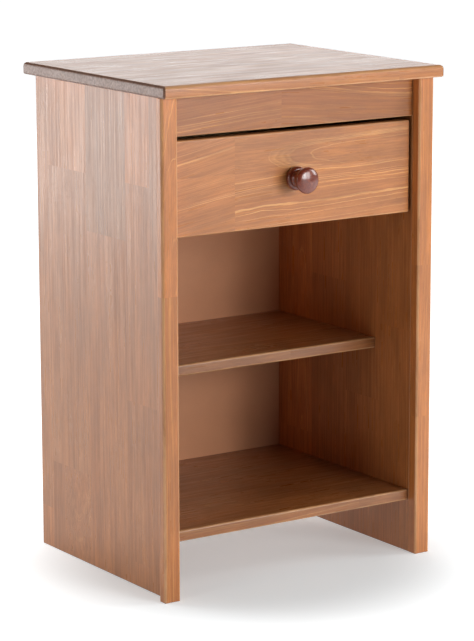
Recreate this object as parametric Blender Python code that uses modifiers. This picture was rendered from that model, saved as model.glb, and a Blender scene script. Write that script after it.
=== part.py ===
"""A bedside nightstand in edge-glued pine: one drawer on roller slides above two open shelves.

Metres, +Z up, front towards -Y. The origin is on the floor under the middle of the whole object.
"""

from math import cos, pi, radians, sin

import bmesh
import bpy
from mathutils import Vector

# Fits
GAP = 0.0003  # between pieces that touch
HOLE_PLAY = 0.0003  # round every dowel and screw
BORE_PLAY = 0.0002  # between a roller's bore and its pin

# Carcass
TOTAL_HEIGHT = 0.660
BODY_WIDTH = 0.422  # over the two stiles
BODY_DEPTH = 0.331  # from the stiles' front to the side panels' back
SIDE_THICK = 0.012
STILE_WIDTH = 0.024
STILE_DEPTH = 0.015
STILE_ROUND = 0.004
STILE_FOOT_SHARE = 0.25  # of that rounding, round the foot

# Slab
SLAB_THICK = 0.016
SLAB_OVER_SIDE = 0.005  # past the stiles
SLAB_OVER_FRONT = 0.0145
SLAB_OVER_BACK = 0.0035
SLAB_ROUND = 0.005
SLAB_UNDER_SHARE = 0.6  # of that rounding, at the corners and underneath

# Rails
FRONT_RAIL_HEIGHT = 0.0515
FRONT_RAIL_THICK = 0.015
BACK_RAIL_HEIGHT = 0.045
BACK_RAIL_THICK = 0.012
EDGE_ROUND = 0.0015

# Shelves
SHELF_THICK = 0.015
SHELF_ROUND = 0.003
MIDDLE_SHELF_TOP = 0.283
MIDDLE_SHELF_SET = 0.078  # from the side panels' front edges
BOTTOM_SHELF_TOP = 0.087
BOTTOM_SHELF_SET = 0.0018

# Back panel, held in a groove in each side
BACK_THICK = 0.0035
BACK_INSET = 0.0055  # from the side panels' back edge
BACK_GROOVE_DEPTH = 0.005

# Drawer front
DRAWER_GAP_SIDE = 0.003
DRAWER_GAP_TOP = 0.0055
DRAWER_FRONT_HEIGHT = 0.122
DRAWER_FRONT_THICK = 0.015
DRAWER_SET = 0.0015  # from the side panels' front edges
DRAWER_ROUND = 0.0025

# Drawer box
SLIDE_SPACE = 0.0127  # from a side panel to the drawer's side
DRAWER_SIDE_THICK = 0.012
DRAWER_SIDE_DROP = 0.022  # of the sides' upper edge below the front's
DRAWER_SIDE_RISE = 0.010  # of the sides' lower edge above the front's
DRAWER_SPACE_BEHIND = 0.0202  # to the back panel
DRAWER_BOTTOM_THICK = 0.003
DRAWER_BOTTOM_RISE = 0.008  # of the bottom above the sides' lower edge
DRAWER_GROOVE_DEPTH = 0.004
DRAWER_DADO_DEPTH = 0.003
DRAWER_BACK_THICK = 0.012
DRAWER_BACK_INSET = 0.006  # from the sides' back ends

# Roller slides
SHEET = 0.0012
SLIDE_START = 0.002  # behind the drawer front
CHANNEL_SHORT = 0.0143  # of the drawer sides' back ends
TRACK_SHORT = 0.016
SLIDE_PLAY = 0.0011  # between the cabinet member and the drawer member
TRACK_PLAY = 0.001  # from the drawer member's top flange to the cabinet member's web
CHANNEL_LIP = 0.0045
ROLLER_RADIUS = 0.007
ROLLER_CHAMFER = 0.0006
ROLLER_SIDE_PLAY = 0.0011  # to the web that its pin is in
ROLLER_FREE_PLAY = 0.0017  # to the web on its other side
ROLLER_HEAD_ROOM = 0.0007  # over the rear roller, under the channel's lip
ROLLER_LIP_PLAY = 0.003  # from the front roller to where the channel's lip begins
ROLLER_FROM_END = 0.011
PIN_RADIUS = 0.0022
PIN_HEAD_RADIUS = 0.0036
PIN_HEAD_THICK = 0.001
PIN_RECESS = 0.0014
PIN_HEAD_PLAY = 0.0005

# Fasteners
DOWEL_RADIUS = 0.003
DOWEL_CHAMFER = 0.0006
SHELF_DOWEL_LENGTH = 0.028
SHELF_DOWEL_IN_SIDE = 0.008
SHELF_DOWEL_FROM_EDGE = 0.045
RAIL_DOWEL_SPACING = 0.024
SLAB_DOWEL_LENGTH = 0.024
SLAB_DOWEL_IN_SLAB = 0.010
SLAB_DOWEL_FROM_EDGE = 0.060
DRAWER_DOWEL_LENGTH = 0.024
DRAWER_DOWEL_IN_FRONT = 0.009
DRAWER_DOWEL_FROM_LOW = 0.0315  # the lower one, above the sides' lower edge
DRAWER_DOWEL_FROM_TOP = 0.0135  # the upper one, below their upper edge
SCREW_RADIUS = 0.00175
SCREW_HEAD_RADIUS = 0.0033
SCREW_HEAD_THICK = 0.0011
CHANNEL_SCREW_LENGTH = 0.0095
CHANNEL_SCREWS_FROM_ENDS = (0.030, 0.054)  # from the channel's front end and back end
TRACK_SCREW_LENGTH = 0.0075
TRACK_SCREWS_FROM_ENDS = (0.040, 0.052)
TRACK_SCREW_OFFSET = 0.0015  # outwards from the drawer side's middle
BACK_SCREW_LENGTH = 0.018
SCREW_POINT = 1.5  # length of a screw's point, in radii
SCREW_TIP = 0.35  # radius of its blunt tip, in radii

# Knob
KNOB_RADIUS = 0.017
KNOB_RIM_AT = 0.0275
KNOB_DOME = 0.0055
KNOB_BEAD_RADIUS = 0.0156
KNOB_BEAD_WIDTH = 0.004
KNOB_BEAD_HEIGHT = 0.009
KNOB_NECK_RADIUS = 0.009
KNOB_HEAD_ROUND = 0.003
KNOB_HEAD_UNDER = 0.0035  # height of the rounding under the rim
KNOB_SCREW_RADIUS = 0.002
KNOB_SCREW_HEAD_RADIUS = 0.0045
KNOB_SCREW_HEAD_THICK = 0.0024
KNOB_SCREW_IN_KNOB = 0.012

# Places that follow from the sizes
KNOB_PROJECTION = KNOB_RIM_AT + KNOB_DOME
FRONT_REACH = max(SLAB_OVER_FRONT, KNOB_PROJECTION + GAP - STILE_DEPTH - DRAWER_SET)
FRONT = -(FRONT_REACH + BODY_DEPTH + SLAB_OVER_BACK) / 2 + FRONT_REACH  # stiles' front plane
BOX_FRONT = FRONT + STILE_DEPTH
BACK = FRONT + BODY_DEPTH
UNDER_SLAB = TOTAL_HEIGHT - SLAB_THICK
INNER_HALF = BODY_WIDTH / 2 - STILE_WIDTH
BACK_PANEL_FRONT = BACK - BACK_INSET - BACK_THICK
DRAWER_TOP = UNDER_SLAB - FRONT_RAIL_HEIGHT - DRAWER_GAP_TOP
DRAWER_LOW = DRAWER_TOP - DRAWER_FRONT_HEIGHT
DRAWER_FACE = BOX_FRONT + DRAWER_SET
DRAWER_REAR_FACE = DRAWER_FACE + DRAWER_FRONT_THICK
DRAWER_MIDDLE = (DRAWER_TOP + DRAWER_LOW) / 2
BOX_LOW = DRAWER_LOW + DRAWER_SIDE_RISE
BOX_TOP = DRAWER_TOP - DRAWER_SIDE_DROP
BOX_OUTER_HALF = INNER_HALF - SLIDE_SPACE
BOX_INNER_HALF = BOX_OUTER_HALF - DRAWER_SIDE_THICK
BOX_START = DRAWER_REAR_FACE + GAP
BOX_END = BACK_PANEL_FRONT - DRAWER_SPACE_BEHIND
BOTTOM_LOW = BOX_LOW + DRAWER_BOTTOM_RISE
TRACK_LOW = BOX_LOW - GAP - SHEET
SLIDE_FRONT = DRAWER_REAR_FACE + SLIDE_START
SLIDE_BACK = BOX_END - CHANNEL_SHORT
CHANNEL_FLOOR = BOX_LOW
CHANNEL_CLEAR = GAP + 2 * ROLLER_RADIUS + ROLLER_HEAD_ROOM  # inside height
CHANNEL_OPEN_FRONT = ROLLER_FROM_END + ROLLER_RADIUS + ROLLER_LIP_PLAY  # without a lip
TRACK_UNDER = CHANNEL_FLOOR + CHANNEL_CLEAR + SHEET + SLIDE_PLAY
REAR_ROLLER_HEIGHT = CHANNEL_FLOOR + GAP + ROLLER_RADIUS
FRONT_ROLLER_HEIGHT = TRACK_UNDER - GAP - ROLLER_RADIUS

# Distances inwards from a side panel's inner face
CHANNEL_WEB_IN = GAP + SHEET
TRACK_WEB_OUT = SLIDE_SPACE - GAP - SHEET
CHANNEL_EDGE = TRACK_WEB_OUT - SLIDE_PLAY
ROLLER_WIDTH = TRACK_WEB_OUT - CHANNEL_WEB_IN - ROLLER_SIDE_PLAY - ROLLER_FREE_PLAY

# Finishes: colour, roughness, metallic
STAINED_PINE = ((0.47, 0.22, 0.10), 0.35, 0.0)
RAW_PINE = ((0.68, 0.49, 0.29), 0.6, 0.0)
HARDBOARD = ((0.33, 0.17, 0.09), 0.55, 0.0)
CHERRY = ((0.16, 0.035, 0.018), 0.2, 0.0)
BEECH = ((0.62, 0.42, 0.24), 0.7, 0.0)
COATED_STEEL = ((0.75, 0.74, 0.70), 0.4, 0.0)
PLATED_STEEL = ((0.62, 0.62, 0.60), 0.35, 1.0)
NYLON = ((0.80, 0.80, 0.76), 0.4, 0.0)

OBJECT_NAME = "nightstand"
SIDES = (("left", -1), ("right", 1))  # each side's name and its sign along X
ROUND_STEPS = 16
ROLLER_STEPS = 28
KNOB_STEPS = 32
ARC_STEPS = 6
BEVEL_STEPS = 3


def clear_scene():
    for obj in list(bpy.data.objects):
        bpy.data.objects.remove(obj, do_unlink=True)


def new_collection(name):
    group = bpy.data.collections.new(name)
    bpy.context.scene.collection.children.link(group)
    return group


clear_scene()
PARTS = new_collection(OBJECT_NAME)
CUTTERS = new_collection(OBJECT_NAME + "_cutters")


def material(name, colour, roughness, metallic=0.0):
    made = bpy.data.materials.new(name)
    made.use_nodes = True
    shader = made.node_tree.nodes["Principled BSDF"]
    shader.inputs["Base Color"].default_value = (*colour, 1.0)
    shader.inputs["Roughness"].default_value = roughness
    shader.inputs["Metallic"].default_value = metallic
    made.diffuse_color = (*colour, 1.0)
    return made


def add(name, mesh, finish, collection=PARTS):
    obj = bpy.data.objects.new(name, mesh)
    if finish is not None:
        colour, roughness, metallic = finish
        mesh.materials.append(material(name, colour, roughness, metallic))
    collection.objects.link(obj)
    return obj


def box(name, low, high, finish, collection=PARTS):
    """A square-edged board between two corners, with its origin in its middle."""
    low = Vector(low)
    high = Vector(high)
    mesh = bpy.data.meshes.new(name)
    body = bmesh.new()
    bmesh.ops.create_cube(body, size=1.0)
    bmesh.ops.scale(body, vec=high - low, verts=body.verts)
    body.to_mesh(mesh)
    body.free()
    obj = add(name, mesh, finish, collection)
    obj.location = (low + high) / 2
    return obj


def round_edges(obj, radius, weigh):
    """Rounds a board's edges. weigh gives an edge's share of the radius from its side (x, y, z).

    A side holds -1, 0 or 1 along each axis: 0 is the axis that the edge runs along.
    """
    mesh = obj.data
    weights = mesh.attributes.new("bevel_weight_edge", "FLOAT", "EDGE")
    for edge in mesh.edges:
        ends = [mesh.vertices[index].co for index in edge.vertices]
        middle = (ends[0] + ends[1]) / 2
        side = tuple((value > 1e-6) - (value < -1e-6) for value in middle)
        weights.data[edge.index].value = weigh(*side)
    bevel = obj.modifiers.new("rounded_edges", "BEVEL")
    bevel.width = radius
    bevel.segments = BEVEL_STEPS
    bevel.limit_method = "WEIGHT"


def hide_cutter(cutter):
    cutter.hide_render = True
    cutter.display_type = "WIRE"
    return cutter


def cut(cutter, *pieces):
    """Takes a cutter's shape out of each piece."""
    for piece in pieces:
        hollow = piece.modifiers.new(cutter.name, "BOOLEAN")
        hollow.operation = "DIFFERENCE"
        hollow.object = cutter


def cut_box(name, low, high, *pieces):
    cut(hide_cutter(box(name, low, high, None, CUTTERS)), *pieces)


def turned(name, profile, start, direction, finish, steps=ROUND_STEPS, closed=False, collection=PARTS):
    """A turned piece. profile lists (radius, distance from start), from its far end back.

    An open profile ends on the axis at both ends, and a closed one is a ring.
    """
    mesh = bpy.data.meshes.new(name)
    edges = [(i, i + 1) for i in range(len(profile) - 1)]
    if closed:
        edges.append((len(profile) - 1, 0))
    mesh.from_pydata([(radius, 0.0, along) for radius, along in profile], edges, [])
    obj = add(name, mesh, finish, collection)
    obj.location = start
    obj.rotation_mode = "QUATERNION"
    obj.rotation_quaternion = Vector(direction).to_track_quat("Z", "Y")
    screw = obj.modifiers.new("turned", "SCREW")
    screw.steps = steps
    screw.render_steps = steps
    screw.use_merge_vertices = True
    screw.merge_threshold = 0.00001
    screw.use_smooth_shade = True
    return obj


def arc(centre, radii, first, last, steps=ARC_STEPS):
    """Points on an elliptical arc between two angles in degrees."""
    turns = [radians(first + (last - first) * i / steps) for i in range(steps + 1)]
    return [(centre[0] + radii[0] * cos(turn), centre[1] + radii[1] * sin(turn)) for turn in turns]


def sheet_profile(name, outline, y_low, y_high, finish):
    """A bent sheet-metal section: an outline in X and Z, drawn out along Y."""
    curve = bpy.data.curves.new(name, "CURVE")
    curve.dimensions = "2D"
    curve.fill_mode = "BOTH"
    curve.extrude = (y_high - y_low) / 2
    spline = curve.splines.new("POLY")
    spline.points.add(len(outline) - 1)
    for point, (x, z) in zip(spline.points, outline):
        point.co = (x, z, 0.0, 1.0)
    spline.use_cyclic_u = True
    drawn = bpy.data.objects.new(name, curve)
    CUTTERS.objects.link(drawn)
    drawn.location = (0.0, (y_low + y_high) / 2, 0.0)
    drawn.rotation_euler = (pi / 2, 0.0, 0.0)
    bpy.context.view_layer.update()
    seen = drawn.evaluated_get(bpy.context.evaluated_depsgraph_get())
    mesh = bpy.data.meshes.new_from_object(seen)
    body = bmesh.new()
    body.from_mesh(mesh)
    bmesh.ops.remove_doubles(body, verts=body.verts, dist=0.00001)
    bmesh.ops.recalc_face_normals(body, faces=body.faces)
    body.to_mesh(mesh)
    body.free()
    placed = drawn.matrix_world.copy()
    bpy.data.objects.remove(drawn, do_unlink=True)
    mesh.name = name
    obj = add(name, mesh, finish)
    obj.matrix_world = placed
    return obj


def drill(name, start, direction, length, radius, *pieces):
    """A round hole, cut into each piece that it passes through."""
    profile = [(0.0, length), (radius, length), (radius, 0.0), (0.0, 0.0)]
    cut(hide_cutter(turned(name, profile, start, direction, None, collection=CUTTERS)), *pieces)


def dowel(name, start, direction, length, *pieces):
    """A chamfered wooden dowel from start, in one hole through the pieces that it joins."""
    neck = DOWEL_RADIUS - DOWEL_CHAMFER
    profile = [(0.0, length), (neck, length), (DOWEL_RADIUS, length - DOWEL_CHAMFER)]
    profile += [(DOWEL_RADIUS, DOWEL_CHAMFER), (neck, 0.0), (0.0, 0.0)]
    way = Vector(direction)
    hole_start = Vector(start) - way * HOLE_PLAY
    drill(name + "_hole", hole_start, way, length + 2 * HOLE_PLAY, DOWEL_RADIUS + HOLE_PLAY, *pieces)
    return turned(name, profile, start, direction, BEECH)


def screw(name, seat, direction, length, radius, head_radius, head_thick, *pieces):
    """A pan-head screw whose head rests on seat and whose shank points along direction."""
    dome = arc((0.0, 0.0), (head_radius, head_thick - GAP), 180, 270, 3)
    point = SCREW_POINT * radius
    tip = SCREW_TIP * radius
    under = -GAP
    profile = [(0.0, length), (tip, length), (radius, length - point), (radius, under)]
    profile += [(head_radius, under)]
    profile += [(-r, under + z) for r, z in dome[1:-1]] + [(0.0, -head_thick)]
    way = Vector(direction)
    hole_start = Vector(seat) - way * GAP
    hole_length = length + GAP + HOLE_PLAY
    drill(name + "_hole", hole_start, way, hole_length, radius + HOLE_PLAY, *pieces)
    return turned(name, profile, seat, direction, PLATED_STEEL)


def build_sides():
    """The side panels, with the stiles glued to their front edges and the back panel's grooves."""
    sides = {}
    top = UNDER_SLAB - GAP
    for side, sign in SIDES:
        outer = sign * (INNER_HALF + SIDE_THICK)
        inner = sign * INNER_HALF
        x_low, x_high = sorted((outer, inner))
        panel_low = (x_low, BOX_FRONT + GAP, 0.0)
        panel = box("side_panel_" + side, panel_low, (x_high, BACK, top), STAINED_PINE)
        round_edges(panel, EDGE_ROUND, lambda x, y, z: float(z < 0 or (y > 0 and z == 0)))
        groove_wall = sign * (INNER_HALF + BACK_GROOVE_DEPTH)
        past = inner - sign * SIDE_THICK
        g_low, g_high = sorted((groove_wall, past))
        cut_box(
            "back_groove_" + side,
            (g_low, BACK_PANEL_FRONT - GAP, BOTTOM_SHELF_TOP - SHELF_THICK - GAP),
            (g_high, BACK_PANEL_FRONT + BACK_THICK + GAP, TOTAL_HEIGHT),
            panel,
        )
        outer = sign * BODY_WIDTH / 2
        x_low, x_high = sorted((outer, inner))
        stile_low = (x_low, FRONT, 0.0)
        stile = box("front_stile_" + side, stile_low, (x_high, BOX_FRONT, top), STAINED_PINE)
        round_edges(
            stile, STILE_ROUND,
            lambda x, y, z: float(z == 0 and (y < 0 or x == sign)) or STILE_FOOT_SHARE * (z < 0),
        )
        sides[side] = panel
    return sides


def build_slab():
    half = BODY_WIDTH / 2 + SLAB_OVER_SIDE
    low = (-half, FRONT - SLAB_OVER_FRONT, UNDER_SLAB)
    high = (half, BACK + SLAB_OVER_BACK, TOTAL_HEIGHT)
    slab = box("top_slab", low, high, STAINED_PINE)
    round_edges(slab, SLAB_ROUND, lambda x, y, z: 1.0 if z > 0 else SLAB_UNDER_SHARE)
    return slab


def build_rails(sides):
    """The front and back rails under the slab, dowelled between the sides."""
    half = INNER_HALF - GAP
    top = UNDER_SLAB - GAP
    front_low = UNDER_SLAB - FRONT_RAIL_HEIGHT
    front_high = (half, BOX_FRONT + FRONT_RAIL_THICK, top)
    front = box("front_rail", (-half, BOX_FRONT, front_low), front_high, STAINED_PINE)
    round_edges(front, EDGE_ROUND, lambda x, y, z: float(x == 0 and z < 0))
    rear_face = BACK_PANEL_FRONT - GAP
    rear_low = UNDER_SLAB - BACK_RAIL_HEIGHT
    back_low = (-half, rear_face - BACK_RAIL_THICK, rear_low)
    back = box("back_rail", back_low, (half, rear_face, top), STAINED_PINE)
    round_edges(back, EDGE_ROUND, lambda x, y, z: float(x == 0 and z < 0))
    middle = (front_low + top) / 2
    for place, step in (("lower", -0.5), ("upper", 0.5)):
        height = middle + step * RAIL_DOWEL_SPACING
        side_dowels("front_rail_dowel_" + place, front, sides, BOX_FRONT + FRONT_RAIL_THICK / 2, height)
    side_dowels("back_rail_dowel", back, sides, rear_face - BACK_RAIL_THICK / 2, (rear_low + top) / 2)


def side_dowels(name, piece, sides, y, z):
    """One dowel at each end of a cross piece, into the side panel there."""
    for side, sign in SIDES:
        start = (sign * (INNER_HALF + SHELF_DOWEL_IN_SIDE), y, z)
        dowel(f"{name}_{side}", start, (-sign, 0.0, 0.0), SHELF_DOWEL_LENGTH, piece, sides[side])


def build_shelf(name, top, front, sides):
    half = INNER_HALF - GAP
    back = BACK_PANEL_FRONT - GAP
    shelf = box(name, (-half, front, top - SHELF_THICK), (half, back, top), STAINED_PINE)
    round_edges(shelf, SHELF_ROUND, lambda x, y, z: float(x == 0 and y < 0))
    for place, y in (("front", front + SHELF_DOWEL_FROM_EDGE), ("back", back - SHELF_DOWEL_FROM_EDGE)):
        side_dowels(f"{name}_dowel_{place}", shelf, sides, y, top - SHELF_THICK / 2)
    return shelf


def build_back_panel(bottom_shelf):
    half = INNER_HALF + BACK_GROOVE_DEPTH - GAP
    low = (-half, BACK_PANEL_FRONT, BOTTOM_SHELF_TOP - SHELF_THICK)
    high = (half, BACK_PANEL_FRONT + BACK_THICK, UNDER_SLAB - GAP)
    panel = box("back_panel", low, high, HARDBOARD)
    seat = (0.0, BACK_PANEL_FRONT + BACK_THICK, BOTTOM_SHELF_TOP - SHELF_THICK / 2)
    screw(
        "back_screw", seat, (0.0, -1.0, 0.0), BACK_SCREW_LENGTH,
        SCREW_RADIUS, SCREW_HEAD_RADIUS, SCREW_HEAD_THICK + GAP, panel, bottom_shelf,
    )


def dowel_slab(slab, sides):
    for side, sign in SIDES:
        x = sign * (INNER_HALF + SIDE_THICK / 2)
        for place, y in (("front", BOX_FRONT + SLAB_DOWEL_FROM_EDGE), ("back", BACK - SLAB_DOWEL_FROM_EDGE)):
            start = (x, y, UNDER_SLAB + SLAB_DOWEL_IN_SLAB)
            name = f"slab_dowel_{place}_{side}"
            dowel(name, start, (0.0, 0.0, -1.0), SLAB_DOWEL_LENGTH, slab, sides[side])


def build_drawer_box():
    """The drawer's front, sides, back and bottom."""
    half = INNER_HALF - DRAWER_GAP_SIDE
    front_high = (half, DRAWER_REAR_FACE, DRAWER_TOP)
    front = box("drawer_front", (-half, DRAWER_FACE, DRAWER_LOW), front_high, STAINED_PINE)
    round_edges(front, DRAWER_ROUND, lambda x, y, z: float(y <= 0 and (y < 0 or x * z != 0)))
    bottom_top = BOTTOM_LOW + DRAWER_BOTTOM_THICK
    back_face = BOX_END - DRAWER_BACK_INSET - DRAWER_BACK_THICK
    groove_half = BOX_INNER_HALF + DRAWER_GROOVE_DEPTH
    sides = {}
    for side, sign in SIDES:
        x_low, x_high = sorted((sign * BOX_OUTER_HALF, sign * BOX_INNER_HALF))
        wall = box("drawer_side_" + side, (x_low, BOX_START, BOX_LOW), (x_high, BOX_END, BOX_TOP), RAW_PINE)
        round_edges(wall, EDGE_ROUND, lambda x, y, z: float(x != 0 and z > 0))
        dado_wall = sign * (BOX_INNER_HALF + DRAWER_DADO_DEPTH + GAP)
        past = sign * (BOX_INNER_HALF - DRAWER_SIDE_THICK)
        d_low, d_high = sorted((dado_wall, past))
        cut_box(
            "drawer_dado_" + side,
            (d_low, back_face - GAP, bottom_top),
            (d_high, back_face + DRAWER_BACK_THICK + GAP, DRAWER_TOP),
            wall,
        )
        sides[side] = wall
    cut_box(
        "drawer_bottom_groove",
        (-groove_half - GAP, DRAWER_REAR_FACE - DRAWER_GROOVE_DEPTH - GAP, BOTTOM_LOW - GAP),
        (groove_half + GAP, BACK, bottom_top + GAP),
        front, *sides.values(),
    )
    back_half = BOX_INNER_HALF + DRAWER_DADO_DEPTH
    back_low = (-back_half, back_face, bottom_top + GAP)
    back_high = (back_half, back_face + DRAWER_BACK_THICK, BOX_TOP)
    back = box("drawer_back", back_low, back_high, RAW_PINE)
    round_edges(back, EDGE_ROUND, lambda x, y, z: float(x == 0 and z > 0))
    bottom_front = DRAWER_REAR_FACE - DRAWER_GROOVE_DEPTH
    bottom_back = back_face + DRAWER_BACK_THICK
    bottom_high = (groove_half, bottom_back, bottom_top)
    bottom = box("drawer_bottom", (-groove_half, bottom_front, BOTTOM_LOW), bottom_high, RAW_PINE)
    return front, sides, back, bottom


def dowel_drawer(front, sides):
    pieces = []
    heights = (("lower", BOX_LOW + DRAWER_DOWEL_FROM_LOW), ("upper", BOX_TOP - DRAWER_DOWEL_FROM_TOP))
    for side, sign in SIDES:
        x = sign * (BOX_OUTER_HALF - DRAWER_SIDE_THICK / 2)
        for place, height in heights:
            start = (x, DRAWER_REAR_FACE - DRAWER_DOWEL_IN_FRONT, height)
            name = f"drawer_dowel_{place}_{side}"
            pieces.append(dowel(name, start, (0.0, 1.0, 0.0), DRAWER_DOWEL_LENGTH, front, sides[side]))
    return pieces


def build_knob(front):
    """The turned knob, and the machine screw that holds it from inside the drawer."""
    bead_centre = (KNOB_BEAD_RADIUS - KNOB_BEAD_WIDTH, KNOB_BEAD_HEIGHT / 2)
    bead = arc(bead_centre, (KNOB_BEAD_WIDTH, KNOB_BEAD_HEIGHT / 2), -90, 90)
    head_low = KNOB_RIM_AT - KNOB_HEAD_UNDER
    cove_radius = KNOB_RADIUS - KNOB_HEAD_ROUND
    cove_centre = (cove_radius, (KNOB_BEAD_HEIGHT + head_low) / 2)
    cove_size = (cove_radius - KNOB_NECK_RADIUS, (head_low - KNOB_BEAD_HEIGHT) / 2)
    cove = arc(cove_centre, cove_size, 240, 90, 8)
    under = arc((cove_radius, KNOB_RIM_AT), (KNOB_HEAD_ROUND, KNOB_HEAD_UNDER), -90, 0, 4)
    dome = arc((0.0, KNOB_RIM_AT), (KNOB_RADIUS, KNOB_DOME), 0, 90, 7)
    hole = KNOB_SCREW_RADIUS + HOLE_PLAY
    depth = KNOB_SCREW_IN_KNOB + HOLE_PLAY
    profile = [(0.0, depth), (hole, depth), (hole, 0.0)]
    profile += bead + cove + under[1:] + dome[1:-1] + [(0.0, KNOB_PROJECTION)]
    seat = (0.0, DRAWER_FACE - GAP, DRAWER_MIDDLE)
    outwards = (0.0, -1.0, 0.0)
    knob = turned("drawer_knob", profile[::-1], seat, outwards, CHERRY, KNOB_STEPS)
    bolt = screw(
        "knob_screw", (0.0, DRAWER_REAR_FACE, DRAWER_MIDDLE), outwards,
        DRAWER_FRONT_THICK + KNOB_SCREW_IN_KNOB, KNOB_SCREW_RADIUS,
        KNOB_SCREW_HEAD_RADIUS, KNOB_SCREW_HEAD_THICK, front,
    )
    return knob, bolt


def roller(name, axis_place, towards_head):
    """A nylon roller with a bore for its pin and a recess for the pin's head, centred on its axis."""
    half = ROLLER_WIDTH / 2
    bore = PIN_RADIUS + BORE_PLAY
    recess = PIN_HEAD_RADIUS + PIN_HEAD_PLAY
    edge = ROLLER_CHAMFER
    profile = [(recess, half), (ROLLER_RADIUS - edge, half), (ROLLER_RADIUS, half - edge)]
    profile += [(ROLLER_RADIUS, edge - half), (ROLLER_RADIUS - edge, -half), (bore, -half)]
    profile += [(bore, half - PIN_RECESS), (recess, half - PIN_RECESS)]
    return turned(name, profile, axis_place, towards_head, NYLON, ROLLER_STEPS, closed=True)


def roller_pin(name, axis_place, towards_head, web_gap):
    """The riveted pin that a roller turns on, from its web to its head inside the roller's recess."""
    head_face = ROLLER_WIDTH / 2
    tail = -ROLLER_WIDTH / 2 - web_gap + GAP
    neck = head_face - PIN_HEAD_THICK
    profile = [(0.0, head_face), (PIN_HEAD_RADIUS, head_face), (PIN_HEAD_RADIUS, neck)]
    profile += [(PIN_RADIUS, neck), (PIN_RADIUS, tail), (0.0, tail)]
    return turned(name, profile, axis_place, towards_head, PLATED_STEEL, ROLLER_STEPS)


def build_channel(side, sign, panel):
    """The cabinet member: a channel screwed to the side panel, with a roller at its front."""
    def place(inwards):
        return sign * (INNER_HALF - inwards)

    web = CHANNEL_WEB_IN
    low = CHANNEL_FLOOR - SHEET
    lip_under = CHANNEL_FLOOR + CHANNEL_CLEAR
    top = lip_under + SHEET
    outline = [(GAP, low), (CHANNEL_EDGE, low), (CHANNEL_EDGE, CHANNEL_FLOOR)]
    outline += [(web, CHANNEL_FLOOR), (web, lip_under), (web + CHANNEL_LIP, lip_under)]
    outline += [(web + CHANNEL_LIP, top), (GAP, top)]
    outline = [(place(u), z) for u, z in outline]
    channel = sheet_profile("cabinet_slide_" + side, outline, SLIDE_FRONT, SLIDE_BACK, COATED_STEEL)
    u_low, u_high = sorted((place(web), place(SLIDE_SPACE)))
    cut_box(
        "lip_cut_" + side,
        (u_low, SLIDE_FRONT - CHANNEL_OPEN_FRONT, CHANNEL_FLOOR + CHANNEL_CLEAR / 2),
        (u_high, SLIDE_FRONT + CHANNEL_OPEN_FRONT, top + SHEET),
        channel,
    )
    x = place(web + ROLLER_SIDE_PLAY + ROLLER_WIDTH / 2)
    axis = (x, SLIDE_FRONT + ROLLER_FROM_END, FRONT_ROLLER_HEIGHT)
    towards_drawer = (-sign, 0.0, 0.0)
    roller("cabinet_roller_" + side, axis, towards_drawer)
    roller_pin("cabinet_roller_pin_" + side, axis, towards_drawer, ROLLER_SIDE_PLAY)
    from_front, from_back = CHANNEL_SCREWS_FROM_ENDS
    for number, y in enumerate((SLIDE_FRONT + from_front, SLIDE_BACK - from_back), 1):
        seat = (place(web), y, CHANNEL_FLOOR + CHANNEL_CLEAR / 2)
        screw(
            f"cabinet_slide_screw_{number}_{side}", seat, (sign, 0.0, 0.0), CHANNEL_SCREW_LENGTH,
            SCREW_RADIUS, SCREW_HEAD_RADIUS, SCREW_HEAD_THICK + GAP, channel, panel,
        )


def build_track(side, sign, wall):
    """The drawer member: a track under the drawer's side that rides on the front roller."""
    def place(inwards):
        return sign * (INNER_HALF - inwards)

    web_in = TRACK_WEB_OUT + SHEET
    foot = SLIDE_SPACE + DRAWER_SIDE_THICK
    top = TRACK_UNDER + SHEET
    flange = CHANNEL_WEB_IN + TRACK_PLAY
    outline = [(TRACK_WEB_OUT, TRACK_LOW), (foot, TRACK_LOW), (foot, TRACK_LOW + SHEET)]
    outline += [(web_in, TRACK_LOW + SHEET), (web_in, top), (flange, top)]
    outline += [(flange, TRACK_UNDER), (TRACK_WEB_OUT, TRACK_UNDER)]
    outline = [(place(u), z) for u, z in outline]
    start = BOX_START + SLIDE_START
    end = BOX_END - TRACK_SHORT
    track = sheet_profile("drawer_slide_" + side, outline, start, end, COATED_STEEL)
    x = place(TRACK_WEB_OUT - ROLLER_SIDE_PLAY - ROLLER_WIDTH / 2)
    axis = (x, end - ROLLER_FROM_END, REAR_ROLLER_HEIGHT)
    towards_panel = (sign, 0.0, 0.0)
    wheel = roller("drawer_roller_" + side, axis, towards_panel)
    pin = roller_pin("drawer_roller_pin_" + side, axis, towards_panel, ROLLER_SIDE_PLAY)
    x = sign * (BOX_OUTER_HALF - DRAWER_SIDE_THICK / 2 + TRACK_SCREW_OFFSET)
    pieces = [track, wheel, pin]
    from_front, from_back = TRACK_SCREWS_FROM_ENDS
    for number, y in enumerate((start + from_front, end - from_back), 1):
        pieces.append(
            screw(
                f"drawer_slide_screw_{number}_{side}", (x, y, TRACK_LOW), (0.0, 0.0, 1.0),
                TRACK_SCREW_LENGTH, SCREW_RADIUS, SCREW_HEAD_RADIUS, SCREW_HEAD_THICK + GAP, track, wall,
            )
        )
    return pieces


def hang_on_slide(pieces):
    """Parents the drawer's pieces to one empty, on the line that the drawer slides along."""
    bpy.context.view_layer.update()
    slide = bpy.data.objects.new("drawer_slide_axis", None)
    slide.location = (0.0, DRAWER_FACE, DRAWER_MIDDLE)
    PARTS.objects.link(slide)
    for piece in pieces:
        piece.parent = slide
        piece.location = piece.location - slide.location


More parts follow.
